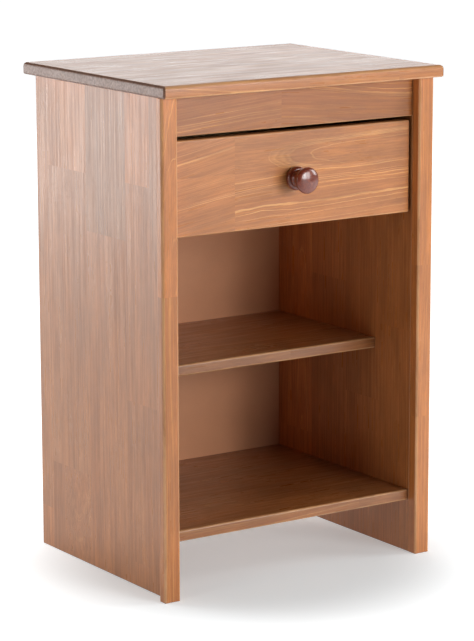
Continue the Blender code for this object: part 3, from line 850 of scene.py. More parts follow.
@dataclass
class Board:
    """A board, made from its node's box: its rounding, what is let into it, and its blocks."""

    node: str
    body: str
    slot: str
    finish: bpy.types.Material
    grain: Axis
    face: Axis  # the axis through its thickness
    rule: EdgeRule
    radius: float
    blocks: list[Block]
    ease: float = 0.0005
    let_in: tuple[str, ...] = ()
    name: str = ""

    def build(self) -> bpy.types.Object:
        """Makes the board and hangs it on its body.

        Returns:
            The finished piece.
        """
        low, high = box_corners(self.node)
        obj = cuboid(self.name or self.node + "_board", low, high)
        round_off(obj, self.radius, self.ease, self.rule)
        cutter = self.hollows(low, high)
        if cutter is not None:
            hollow = obj.modifiers.new("let_in", "BOOLEAN")
            hollow.operation = "DIFFERENCE"
            hollow.object = cutter
            hollow.use_self = True
        mesh = settle(obj)
        if cutter is not None:
            bpy.data.objects.remove(cutter, do_unlink=True)
        self.saw(mesh, low, high)
        mesh.shade_smooth()
        mesh.set_sharp_from_angle(angle=math.radians(SMOOTH_ANGLE))
        mesh.materials.clear()
        mesh.materials.append(self.finish)
        weigh = obj.modifiers.new("flat_faces", "WEIGHTED_NORMAL")
        weigh.keep_sharp = True
        settle(obj)
        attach(obj, self.body)
        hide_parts(self.node)
        faces = len(obj.data.polygons)
        log.info("%s: %d faces, %d blocks, on %s", obj.name, faces, len(self.blocks), self.body)
        return obj

    def hollows(self, low: Vector, high: Vector) -> bpy.types.Object | None:
        """Makes one cutter for the holes and grooves of everything let into the board.

        Args:
            low: The board's low corner; not used.
            high: Its high corner; not used.

        Returns:
            The cutter, or None where nothing is let in.
        """
        body = bmesh.new()
        for name in self.let_in:
            other_low, other_high = box_corners(name)
            size = other_high - other_low
            middle = (other_low + other_high) / 2
            long = max(range(3), key=lambda i: size[i])
            across = [size[i] for i in range(3) if i != long]
            if "dowel" in name or "screw" in name:
                turn = Vector((0, 0, 1)).rotation_difference(Vector([float(i == long) for i in range(3)]))
                place = Matrix.Translation(middle) @ turn.to_matrix().to_4x4()
                radius = min(across) / 2 + PLAY
                bmesh.ops.create_cone(
                    body, cap_ends=True, segments=24, radius1=radius, radius2=radius,
                    depth=size[long] + 2 * PLAY, matrix=place,
                )
            else:
                grown = Matrix.Diagonal((*(size + Vector((2 * PLAY,) * 3)), 1.0))
                bmesh.ops.create_cube(body, size=1.0, matrix=Matrix.Translation(middle) @ grown)
        if not body.verts:
            body.free()
            return None
        mesh = bpy.data.meshes.new(self.node + "_hollows")
        body.to_mesh(mesh)
        body.free()
        return plain_object(self.node + "_hollows", mesh)

    def saw(self, mesh: bpy.types.Mesh, low: Vector, high: Vector) -> None:
        """Splits the faces where blocks meet, and gives each corner its place in its log.

        Args:
            mesh: The board's mesh.
            low: The board's low corner.
            high: Its high corner.
        """
        along, deep = self.grain.value, self.face.value
        across = 3 - along - deep
        body = bmesh.new()
        body.from_mesh(mesh)
        planes = sorted({edge for block in self.blocks for edge in block.across})
        for edge in planes:
            self.slice(body, across, low[across] + edge / MM_PER_METRE, body.faces)
        for block in self.blocks:
            wanted = [f for f in body.faces if self.in_stave(f, block, across, low)]
            self.slice(body, along, low[along] + block.along[1] / MM_PER_METRE, wanted)
        places = body.loops.layers.float_vector.new("log_place")
        tints = body.loops.layers.float_color.new("tint")
        sawn = body.faces.layers.float_vector.new("sawn")
        ends = body.faces.layers.float.new("end_grain")
        wavers = body.faces.layers.float.new("waver")
        wear_and_highlight = body.faces.layers.float.new("arris")
        face_level = high[deep]
        for item in body.faces:
            centre = (item.calc_center_median() - low) * MM_PER_METRE
            held = (b for b in self.blocks if b.holds(centre[along], centre[across]))
            block = next(held, self.blocks[0])
            item[sawn] = Vector((block.ring / MM_PER_METRE, block.contrast, block.seed))
            item[wavers] = block.waver
            item[ends] = float(abs(item.normal[along]) > END_SLOPE)
            # Marks the rounded faces, which the timber lightens: partly stain thinned by use, partly a
            # painted highlight.
            item[wear_and_highlight] = float(max(map(abs, item.normal)) < ROUND_SLOPE and not item[ends])
            for loop in item.loops:
                spot = (loop.vert.co - low) * MM_PER_METRE
                depth = (face_level - loop.vert.co[deep]) * MM_PER_METRE
                loop[places] = block.log_place(spot[along], spot[across], depth)
                loop[tints] = (*block.tint, 1.0)
        body.to_mesh(mesh)
        body.free()

    @staticmethod
    def in_stave(item: bmesh.types.BMFace, block: Block, across: int, low: Vector) -> bool:
        """True if a face lies in a block's stave."""
        spot = (item.calc_center_median()[across] - low[across]) * MM_PER_METRE
        return block.across[0] <= spot < block.across[1]

    @staticmethod
    def slice(body: bmesh.types.BMesh, axis: int, level: float, faces: object) -> None:
        """Cuts faces along a plane at right angles to an axis.

        Args:
            body: The mesh they are in.
            axis: The axis's index.
            level: The plane's place along it.
            faces: The faces.
        """
        normal = Vector([float(i == axis) for i in range(3)])
        faces = list(faces)
        edges = {e for f in faces for e in f.edges}
        verts = {v for f in faces for v in f.verts}
        bmesh.ops.bisect_plane(
            body, geom=[*verts, *edges, *faces], dist=1e-6, plane_co=normal * level, plane_no=normal
        )


# ---------------------------------------------------------------- turned pieces and screws


WELD = 0.000001  # points nearer than this are made one


class TurnedTrees:
    """Geometry Nodes trees that turn a profile round its axis and set the result at points."""

    def __init__(self) -> None:
        """Builds the trees."""
        self.lathe = self.build_lathe()
        self.turned_set = self.build_set("turned_set", recess=False)
        self.screw_set = self.build_set("screw_set", recess=True)

    @staticmethod
    def build_lathe() -> bpy.types.NodeTree:
        """Turns the points of a profile, at (radius, 0, height), round Z.

        Returns:
            The tree.
        """
        graph, given, made = open_group(
            "lathe",
            {"Profile": "NodeSocketGeometry", "Points": "NodeSocketInt", "Steps": "NodeSocketInt"},
            {"Geometry": "NodeSocketGeometry"},
            "GeometryNodeTree",
        )
        rows = graph.math("ADD", given.outputs["Steps"], 1.0)
        grid = graph.node("GeometryNodeMeshGrid")
        graph.put(grid.inputs["Vertices X"], given.outputs["Points"])
        graph.put(grid.inputs["Vertices Y"], rows)
        index = graph.node("GeometryNodeInputIndex").outputs["Index"]
        column = graph.math("FLOOR", graph.math("DIVIDE", graph.math("ADD", index, 0.5), rows))
        row = graph.math("FLOORED_MODULO", index, rows)
        turn = graph.math("MULTIPLY", graph.math("DIVIDE", row, given.outputs["Steps"]), 2.0 * math.pi)
        sample = graph.node("GeometryNodeSampleIndex", data_type="FLOAT_VECTOR")
        graph.put(sample.inputs["Geometry"], given.outputs["Profile"])
        graph.put(sample.inputs["Value"], graph.node("GeometryNodeInputPosition").outputs["Position"])
        graph.put(sample.inputs["Index"], column)
        radius, _, height = graph.parts(sample.outputs["Value"])
        flat = [graph.math("MULTIPLY", radius, graph.math(way, turn)) for way in ("COSINE", "SINE")]
        moved = graph.node("GeometryNodeSetPosition")
        graph.put(moved.inputs["Geometry"], grid.outputs["Mesh"])
        graph.put(moved.inputs["Position"], graph.combine(*flat, height))
        welded = graph.node("GeometryNodeMergeByDistance")
        graph.put(welded.inputs["Geometry"], moved.outputs["Geometry"])
        graph.put(welded.inputs["Distance"], 2 * WELD)
        graph.put(made.inputs["Geometry"], welded.outputs["Geometry"])
        return graph.tree

    def build_set(self, name: str, recess: bool) -> bpy.types.NodeTree:
        """A tree whose geometry is points with a facing attribute, each of which gets a turned piece.

        Args:
            name: The tree's name.
            recess: True for a cross-shaped recess in the piece's head.

        Returns:
            The tree.
        """
        inputs = {
            "Geometry": "NodeSocketGeometry",
            "Profile": "NodeSocketObject",
            "Points": "NodeSocketInt",
            "Steps": "NodeSocketInt",
            "Finish": "NodeSocketMaterial",
        }
        if recess:
            inputs |= {"Slot Length": NUMBER, "Slot Width": NUMBER, "Slot Depth": NUMBER}
        geometry = {"Geometry": "NodeSocketGeometry"}
        graph, given, made = open_group(name, inputs, geometry, "GeometryNodeTree")
        source = graph.node("GeometryNodeObjectInfo")
        graph.put(source.inputs["Object"], given.outputs["Profile"])
        turned = graph.node("GeometryNodeGroup", node_tree=self.lathe)
        graph.put(turned.inputs["Profile"], source.outputs["Geometry"])
        graph.put(turned.inputs["Points"], given.outputs["Points"])
        graph.put(turned.inputs["Steps"], given.outputs["Steps"])
        piece = turned.outputs["Geometry"]
        if recess:
            arms = graph.node("GeometryNodeJoinGeometry")
            across = (given.outputs["Slot Length"], given.outputs["Slot Width"])
            deep = graph.math("MULTIPLY", given.outputs["Slot Depth"], 2.0)
            for flat in (across, across[::-1]):
                arm = graph.node("GeometryNodeMeshCube")
                graph.put(arm.inputs["Size"], graph.combine(*flat, deep))
                graph.put(arms.inputs["Geometry"], arm.outputs["Mesh"])
            cross = graph.node("GeometryNodeMeshBoolean", operation="DIFFERENCE")
            graph.put(cross.inputs["Mesh 1"], piece)
            graph.put(cross.inputs["Mesh 2"], arms.outputs["Geometry"])
            piece = cross.outputs["Mesh"]
        facing = graph.node("GeometryNodeInputNamedAttribute", data_type="FLOAT_VECTOR")
        graph.put(facing.inputs["Name"], "facing")
        turn = graph.node("FunctionNodeAlignRotationToVector", axis="Z")
        graph.put(turn.inputs["Vector"], facing.outputs["Attribute"])
        copies = graph.node("GeometryNodeInstanceOnPoints")
        graph.put(copies.inputs["Points"], given.outputs["Geometry"])
        graph.put(copies.inputs["Instance"], piece)
        graph.put(copies.inputs["Rotation"], turn.outputs["Rotation"])
        real = graph.node("GeometryNodeRealizeInstances")
        graph.put(real.inputs["Geometry"], copies.outputs["Instances"])
        dressed = graph.node("GeometryNodeSetMaterial")
        graph.put(dressed.inputs["Geometry"], real.outputs["Geometry"])
        graph.put(dressed.inputs["Material"], given.outputs["Finish"])
        graph.put(made.inputs["Geometry"], dressed.outputs["Geometry"])
        return graph.tree


TREES = TurnedTrees()


def arc(
    centre: tuple[float, float], radii: tuple[float, float], first: float, last: float, steps: int
) -> list[tuple[float, float]]:
    """Points on an elliptical arc.

    Args:
        centre: Of the ellipse.
        radii: Its half widths.
        first: The angle at which the arc starts, in degrees.
        last: The angle at which it ends.
        steps: The number of its parts.

    Returns:
        The points, which are one more than the parts.
    """
    turns = [math.radians(first + (last - first) * i / steps) for i in range(steps + 1)]
    return [(centre[0] + radii[0] * math.cos(t), centre[1] + radii[1] * math.sin(t)) for t in turns]


@dataclass
class TurnedSet:
    """Turned pieces of one kind on one body, made by a Geometry Nodes tree.

    The profile lists (radius, height) from the far end of the piece back to its seat.
    """

    name: str
    body: str
    slot: str
    finish: bpy.types.Material
    profile: list[tuple[float, float]]
    places: list[Vector]
    facing: Vector
    replaced: tuple[str, ...]
    steps: int = 48
    sharp: float = 32.0
    recess: tuple[float, float, float] | None = None  # length, width and depth of the cross's slots

    def build(self) -> bpy.types.Object:
        """Makes the pieces and hangs them on their body.

        Returns:
            One plain mesh with every copy.
        """
        outline = bpy.data.meshes.new(self.name + "_profile")
        outline.from_pydata([(r, 0.0, h) for r, h in self.profile], [], [])
        source = plain_object(self.name + "_profile", outline)
        points = bpy.data.meshes.new(self.name)
        points.from_pydata([tuple(p) for p in self.places], [], [])
        aim = points.attributes.new("facing", "FLOAT_VECTOR", "POINT")
        for item in aim.data:
            item.vector = self.facing
        obj = plain_object(self.name, points)
        tree = TREES.screw_set if self.recess else TREES.turned_set
        values = {
            "Profile": source, "Points": len(self.profile), "Steps": self.steps, "Finish": self.finish
        }
        if self.recess:
            values |= dict(zip(("Slot Length", "Slot Width", "Slot Depth"), self.recess))
        maker = obj.modifiers.new("turned", "NODES")
        maker.node_group = tree
        for socket in tree.interface.items_tree:
            if socket.name in values and socket.in_out == "INPUT":
                maker[socket.identifier] = values[socket.name]
        mesh = settle(obj)
        bpy.data.objects.remove(source, do_unlink=True)
        body = bmesh.new()
        body.from_mesh(mesh)
        bmesh.ops.remove_doubles(body, verts=body.verts, dist=WELD)
        bmesh.ops.recalc_face_normals(body, faces=body.faces)
        body.to_mesh(mesh)
        body.free()
        mesh.shade_smooth()
        mesh.set_sharp_from_angle(angle=math.radians(self.sharp))
        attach(obj, self.body)
        if self.replaced:
            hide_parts(*self.replaced)
        faces = len(mesh.polygons)
        log.info("%s: %d pieces, %d faces, on %s", self.name, len(self.places), faces, self.body)
        return obj


def seat_of(node: str, facing: Vector) -> Vector:
    """The middle of one side of a node's box.

    Args:
        node: The node.
        facing: The way that this side faces.

    Returns:
        The place.
    """
    low, high = box_corners(node)
    middle = (low + high) / 2
    for i in range(3):
        if abs(facing[i]) > 0.5:
            middle[i] = high[i] if facing[i] > 0 else low[i]
    return middle


# ---------------------------------------------------------------- the carcass


PANEL_RUN = (-2.0, 646.0)  # a side panel's length in millimetres, and a little more at both ends


@dataclass
class Carcass:
    """Slab, sides, stiles, rails, shelves and back panel."""

    finishes: Finishes
    slab_round: float = 0.005
    panel_round: float = 0.0015
    stile_round: float = 0.004
    shelf_round: float = 0.003
    back_round: float = 0.0004
    shelf_level: float = 0.64  # the shelves' brightness beside the other boards'
    slot: str = "stained_pine"
    body: str = "cabinet"

    def board(
        self, node: str, grain: Axis, face: Axis, rule: EdgeRule, radius: float, blocks: list[Block],
        let_in: tuple[str, ...] = (),
    ) -> None:
        """Builds one stained board of the carcass, from the values that Board takes."""
        pine = self.finishes.pine
        Board(node, self.body, self.slot, pine, grain, face, rule, radius, blocks, let_in=let_in).build()

    def build(self) -> None:
        """Builds every board."""
        self.build_slab()
        self.build_sides()
        self.build_stiles()
        self.build_rails()
        self.build_shelves()
        self.build_back()

    def build_slab(self) -> None:
        """The slab, with its top arris rounded more than the others."""
        dowels = tuple(f"slab_dowel_{end}_{side}" for end in ("front", "back") for side, _ in SIDES)
        self.board(
            "top_slab", Axis.X, Axis.Z, lambda x, y, z: 1.0 if z > 0 else 0.6, self.slab_round,
            lay_staves(432.0, 349.0, seed=11, contrast=0.6, spread=0.05), dowels,
        )

    def build_sides(self) -> None:
        """The two side panels."""
        layouts = {"left": self.left_side_blocks(), "right": self.right_side_blocks()}
        for side, _ in SIDES:
            ends = [f"{s}_shelf_dowel_{e}_{side}" for s in ("middle", "bottom") for e in ("front", "back")]
            ends += [f"front_rail_dowel_{e}_{side}" for e in ("lower", "upper")]
            ends += [f"back_rail_dowel_{side}"] + [f"slab_dowel_{e}_{side}" for e in ("front", "back")]
            ends += [f"cabinet_slide_screw_{n}_{side}" for n in (1, 2)]
            self.board(
                f"side_panel_{side}", Axis.Z, Axis.X,
                lambda x, y, z: float(z < 0 or (y > 0 and z == 0)), self.panel_round,
                layouts[side], ("back_panel", *ends),
            )

    @staticmethod
    def left_side_blocks() -> list[Block]:
        """Lays out the left panel, staves from the front edge to the back.

        Returns:
            Its blocks.
        """
        far, end = PANEL_RUN
        # Lower blocks are darker and top blocks lighter: partly the wood's own tone, partly painted shade
        # as the light falls off down the panel.
        return [
            Block((far, 244), (far, 34), tone(0.86, -0.35), 6.0, 0.13, (70, 40), seed=3.1),
            Block((244, end), (far, 34), tone(0.98, -0.85), 5.5, 0.13, (80, 30), seed=7.4),
            Block((far, 32), (34, 91), tone(0.97, -0.35), 7.0, 0.10, (90, 40), seed=12.0),
            Block((32, 244), (34, 91), tone(0.9, -0.15), 7.0, 0.12, (-70, 30), (0.02, 0.0), seed=15.5),
            Block((244, 526), (34, 91), tone(0.96, 0.25), 5.0, 0.19, (-110, 40), seed=21.3),
            Block((526, end), (34, 91), tone(1.12, 0.85), 6.0, 0.19, (90, 20), seed=25.9),
            Block((far, 451), (91, 188), tone(0.93, 0.15), 6.5, 0.24, (120, 35), (0.01, 0.0), seed=31.7),
            Block((451, end), (91, 188), tone(0.87, -1.6), 6.0, 0.10, (-130, 60), seed=36.2),
            Block(
                (far, 123), (188, 252), tone(0.95, -0.35), 8.0, 0.41, (0, 37.4), (0.0, -0.24), seed=41.0,
                waver=0.3,
            ),
            Block(
                (123, 526), (188, 252), tone(0.92, -0.25), 5.0, 0.35, (75, 22), (0.02, 0.0), seed=44.8,
                waver=1.5,
            ),
            Block((526, end), (188, 252), tone(1.12, -0.25), 6.5, 0.22, (-80, 30), seed=49.1),
            Block((far, 123), (252, 284), tone(0.9, -0.35), 7.0, 0.08, (-60, 40), seed=53.3),
            Block((123, 526), (252, 284), tone(0.98, -0.75), 6.0, 0.16, (80, 30), seed=58.6),
            Block((526, end), (252, 284), tone(1.05, -0.35), 6.0, 0.13, (70, 30), seed=62.4),
            Block((far, 56), (284, 320), tone(1.04, -0.15), 5.0, 0.13, (50, 30), seed=66.0),
            Block((56, end), (284, 320), tone(0.98, -0.55), 5.0, 0.13, (60, 40), seed=71.5),
        ]

    @staticmethod
    def right_side_blocks() -> list[Block]:
        """Lays out the right panel, staves from the front edge to the back.

        Returns:
            Its blocks.
        """
        far, end = PANEL_RUN
        return [
            Block((far, 304), (far, 20), tone(0.86, 0.6), 5.0, 0.5, (60, 30), seed=2.2),
            Block((304, end), (far, 20), tone(0.82, 0.6), 5.0, 0.5, (60, 30), seed=5.2),
            Block((far, 78), (20, 67), tone(0.84, 0.6), 6.0, 0.6, (70, 30), seed=9.2),
            Block((78, 304), (20, 67), tone(0.82, 0.6), 5.0, 0.7, (-60, 25), seed=13.2),
            Block((304, end), (20, 67), tone(0.80, 0.6), 5.0, 0.5, (80, 30), seed=17.8),
            Block((far, 197), (67, 145), tone(0.90, 0.4), 5.0, 0.8, (-90, 25), seed=22.6),
            Block((197, end), (67, 145), tone(0.84, 0.4), 6.0, 0.4, (100, 50), seed=27.4),
            Block((far, 350), (145, 225), tone(0.87, 0.3), 6.0, 0.6, (90, 30), seed=33.0),
            Block((350, end), (145, 225), tone(0.95, 0.3), 5.5, 0.6, (-80, 30), seed=38.1),
            Block((far, 120), (225, 320), tone(1.14, 0.2), 6.0, 0.6, (60, 30), seed=43.2),
            Block((120, 500), (225, 320), tone(1.10, 0.2), 6.0, 0.6, (-20, 18), (0.0, 0.03), seed=47.9),
            Block((500, end), (225, 320), tone(1.14, 0.2), 6.0, 0.6, (110, 30), seed=52.0),
        ]

    def build_stiles(self) -> None:
        """The stiles glued to the panels' front edges, each of two or three lengths."""
        (far, end), wide = PANEL_RUN, (-2.0, 26.0)
        layouts = {
            "left": [
                Block((far, 395), wide, tone(0.88, 1.5), 6.0, 0.8, (-45, 25), (0.0, 0.01), seed=4.0),
                Block((395, end), wide, tone(1.10, 1.4), 7.0, 0.9, (12, 18), (0.03, 0.05), seed=8.0),
            ],
            "right": [
                Block((far, 190), wide, tone(1.02, 1.2), 5.0, 0.5, (60, 25), seed=12.0),
                Block((190, 395), wide, tone(1.0, 1.3), 4.5, 0.9, (25, 15), (0.02, 0.03), seed=16.0),
                Block((395, end), wide, tone(1.06, 1.2), 6.0, 0.4, (70, 40), seed=20.0),
            ],
        }
        for side, sign in SIDES:
            self.board(
                f"front_stile_{side}", Axis.Z, Axis.Y,
                lambda x, y, z, sign=sign: float(z == 0 and (y < 0 or x == sign)) or 0.25 * (z < 0),
                self.stile_round, layouts[side],
            )

    def build_rails(self) -> None:
        """The front rail under the slab, and the back rail behind it."""
        ends = tuple(f"front_rail_dowel_{e}_{s}" for e in ("lower", "upper") for s, _ in SIDES)
        high = (-2.0, 60.0)
        # The front rail's darker, warmer tones: partly the wood's own, partly painted shade under the
        # slab's overhang.
        front = [
            Block((-2, 165), high, tone(0.77, 1.3), 10.0, 1.2, (60, 18), (0.085, 0.0), seed=6.0, waver=1.4),
            Block(
                (165, 380), high, tone(0.68, 1.8), 9.0, 1.4, (55, 22), (-0.06, 0.0), seed=10.5, waver=1.4
            ),
        ]
        rule: EdgeRule = lambda x, y, z: float(x == 0 and z < 0)
        self.board("front_rail", Axis.X, Axis.Y, rule, self.panel_round, front, ends)
        dowels = tuple(f"back_rail_dowel_{s}" for s, _ in SIDES)
        back = lay_staves(374.0, 45.0, seed=5)
        self.board("back_rail", Axis.X, Axis.Y, rule, self.panel_round, back, dowels)

    def build_shelves(self) -> None:
        """The two shelves, rounded along their front edges."""
        for number, (shelf, width) in enumerate((("middle", 229.0), ("bottom", 305.0))):
            dowels = [f"{shelf}_shelf_dowel_{e}_{s}" for e in ("front", "back") for s, _ in SIDES]
            dowels += ["back_screw"] * (shelf == "bottom")
            self.board(
                f"{shelf}_shelf", Axis.X, Axis.Z, lambda x, y, z: float(x == 0 and y < 0), self.shelf_round,
                lay_staves(374.0, width, seed=31 + number, spread=0.05, level=self.shelf_level),
                tuple(dowels),
            )

    def build_back(self) -> None:
        """The hardboard panel, smooth in front, with mesh marks behind."""
        low, high = box_corners("back_panel")
        obj = cuboid("back_panel_board", low, high)
        round_off(obj, self.back_round, self.back_round, lambda x, y, z: 1.0)
        mesh = settle(obj)
        mesh.materials.append(self.finishes.hardboard)
        mesh.materials.append(self.finishes.hardboard_rear)
        for item in mesh.polygons:
            item.material_index = int(item.normal.y > 0.5)
        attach(obj, self.body)
        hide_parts("back_panel")
        log.info("back_panel_board: %d faces, on %s", len(mesh.polygons), self.body)


# ---------------------------------------------------------------- the drawer


@dataclass
class Drawer:
    """The drawer's front, box and turned knob."""

    finishes: Finishes
    front_round: float = 0.0025
    side_round: float = 0.0015
    bottom_round: float = 0.001
    bottom_ease: float = 0.0003
    knob_radius: float = 0.017
    rim_at: float = 0.0275
    dome: float = 0.0055
    bead_radius: float = 0.0156
    bead_width: float = 0.004
    bead_height: float = 0.009
    neck_radius: float = 0.009
    head_round: float = 0.003
    head_under: float = 0.0035
    hole_radius: float = 0.0023
    hole_depth: float = 0.0123
    body: str = "drawer"

    def build(self) -> None:
        """Builds the front, the box and the knob."""
        self.build_front()
        self.build_box()
        self.build_knob()

    def build_front(self) -> None:
        """The front, of two staves jointed a quarter of the way along."""
        dowels = tuple(f"drawer_dowel_{e}_{s}" for e in ("lower", "upper") for s, _ in SIDES)
        blocks = [
            Block((-2, 92), (74, 124), tone(1.0, 0.1), 11.0, 0.65, (60, 18), (0.20, 0.0), seed=5.5),
            Block((-2, 92), (-2, 74), tone(1.02, 0.4), 12.0, 0.5, (80, 20), (0.16, 0.0), seed=9.5),
            Block((92, 370), (74, 124), tone(0.97, -0.3), 12.0, 0.55, (-14, 32.3), (0.0, -0.05), seed=14.5),
            Block(
                (92, 370), (-2, 74), tone(1.0, 0.1), 10.0, 1.1, (100, 20), (0.05, 0.0), seed=18.7, waver=1.7
            ),
        ]
        Board(
            "drawer_front", self.body, "stained_pine", self.finishes.pine, Axis.X, Axis.Y,
            lambda x, y, z: float(y <= 0 and (y < 0 or x * z != 0)), self.front_round, blocks,
            let_in=("drawer_bottom", "knob_screw", *dowels),
        ).build()

    def build_box(self) -> None:
        """The sides, back and bottom, in unstained pine."""
        slot, pine = "raw_pine", self.finishes.raw_pine
        for number, (side, _) in enumerate(SIDES):
            dowels = [f"drawer_dowel_{e}_{side}" for e in ("lower", "upper")]
            dowels += [f"drawer_slide_screw_{n}_{side}" for n in (1, 2)]
            Board(
                f"drawer_side_{side}", self.body, slot, pine, Axis.Y, Axis.X,
                lambda x, y, z: float(x != 0 and z > 0), self.side_round,
                lay_staves(270.0, 90.0, seed=61 + number, contrast=0.8, spread=0.04),
                let_in=("drawer_bottom", "drawer_back", *dowels),
            ).build()
        Board(
            "drawer_back", self.body, slot, pine, Axis.X, Axis.Y,
            lambda x, y, z: float(x == 0 and z > 0), self.side_round,
            lay_staves(330.0, 79.0, seed=71, contrast=0.8, spread=0.04),
        ).build()
        sheet = Block(
            (-2, 340), (-2, 270), ring=9.0, contrast=0.7, pith=(20, 26), lean=(0.02, 0.01), seed=3.0
        )
        Board(
            "drawer_bottom", self.body, slot, pine, Axis.X, Axis.Z, lambda x, y, z: 0.0,
            self.bottom_round, [sheet], ease=self.bottom_ease,
        ).build()

    def knob_profile(self) -> list[tuple[float, float]]:
        """Draws the knob from the tip of its dome back to its seat and up its screw hole.

        Returns:
            The profile's points.
        """
        low, high = box_corners("drawer_knob")
        deep = high.y - low.y
        cove_radius = self.knob_radius - self.head_round
        head_low = self.rim_at - self.head_under
        cove_size = (cove_radius - self.neck_radius, (head_low - self.bead_height) / 2)
        dome = arc((0.0, self.rim_at), (self.knob_radius, deep - self.rim_at), 90, 0, 16)
        under = arc((cove_radius, self.rim_at), (self.head_round, self.head_under), 0, -90, 8)
        cove = arc((cove_radius, (self.bead_height + head_low) / 2), cove_size, 90, 240, 20)
        centre = (self.bead_radius - self.bead_width, self.bead_height / 2)
        bead = arc(centre, (self.bead_width, self.bead_height / 2), 90, -90, 16)
        hole = [(self.hole_radius, 0.0), (self.hole_radius, self.hole_depth), (0.0, self.hole_depth)]
        return [(0.0, deep)] + dome[1:] + under[1:] + cove[1:] + bead + hole

    def build_knob(self) -> None:
        """The knob, turned along Y."""
        seat = seat_of("drawer_knob", Vector((0, 1, 0)))
        TurnedSet(
            "turned_knob", self.body, "knob_wood", self.finishes.cherry, self.knob_profile(), [seat],
            Vector((0, -1, 0)), ("drawer_knob",), steps=96, sharp=50.0,
        ).build()


# ---------------------------------------------------------------- slides and fasteners


@dataclass
class RollerSlides:
    """The slides' rollers and pins, and the finish of their channels."""

    finishes: Finishes
    roller_radius: float = 0.007
    chamfer: float = 0.0006
    bore: float = 0.0024
    head_recess: float = 0.0041
    recess_depth: float = 0.0014
    pin_radius: float = 0.0022
    head_radius: float = 0.0036
    head_thick: float = 0.001
    groove_depth: float = 0.0005
    groove_half: float = 0.12  # as a share of the roller's width

    def build(self) -> None:
        """Builds the rollers and pins, and dresses the rails."""
        for side, sign in SIDES:
            inwards = Vector((-sign, 0, 0))
            self.build_roller("cabinet", side, f"front_roller_{side}", "cabinet", inwards)
            self.build_roller("drawer", side, f"rear_roller_{side}", "drawer", -inwards)
        for owner in ("cabinet", "drawer"):
            for side, _ in SIDES:
                dress(f"{owner}_slide_{side}", self.finishes.coated)

    def build_roller(self, owner: str, side: str, body: str, pin_body: str, facing: Vector) -> None:
        """Builds one roller, and the riveted pin that it turns on.

        Args:
            owner: The rail that holds the pin.
            side: The side it is on.
            body: The roller's body.
            pin_body: The pin's body.
            facing: The way that the pin's head faces.
        """
        node, pin = f"{owner}_roller_{side}", f"{owner}_roller_pin_{side}"
        low, high = box_corners(node)
        width = high.x - low.x
        outer, edge, floor = self.roller_radius, self.chamfer, width - self.recess_depth
        middle = [
            (outer, width * (0.5 + self.groove_half)), (outer - self.groove_depth, width * 0.5),
            (outer, width * (0.5 - self.groove_half)),
        ]
        profile = [(self.head_recess, width), (outer - edge, width), (outer, width - edge), *middle]
        profile += [(outer, edge), (outer - edge, 0.0), (self.bore, 0.0), (self.bore, floor)]
        profile += [(self.head_recess, floor), (self.head_recess, width)]
        TurnedSet(
            f"{owner}_wheel_{side}", body, "nylon", self.finishes.nylon, profile,
            [seat_of(node, -facing)], facing, (node,), steps=56,
        ).build()
        low, high = box_corners(pin)
        neck = high.x - low.x - self.head_thick
        crown_low, crown_high = self.head_thick * 0.4, self.head_thick * 0.6
        crown = arc((0.0, neck + crown_low), (self.head_radius, crown_high), 90, 0, 6)
        shank = [(self.head_radius, neck), (self.pin_radius, neck), (self.pin_radius, 0.0), (0.0, 0.0)]
        TurnedSet(
            f"{owner}_rivet_{side}", pin_body, "plated_steel", self.finishes.plated, crown + shank,
            [seat_of(pin, -facing)], facing, (pin,), steps=36,
        ).build()


def mid_height(node: str) -> float:
    """The height of a node's middle."""
    low, high = box_corners(node)
    return (low.z + high.z) / 2


def dress(node: str, finish: bpy.types.Material) -> None:
    """Gives a node of the frame that stays in view its finish.

    Args:
        node: The node.
        finish: Its material.
    """
    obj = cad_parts[node]
    obj.data.materials.clear()
    obj.data.materials.append(finish)


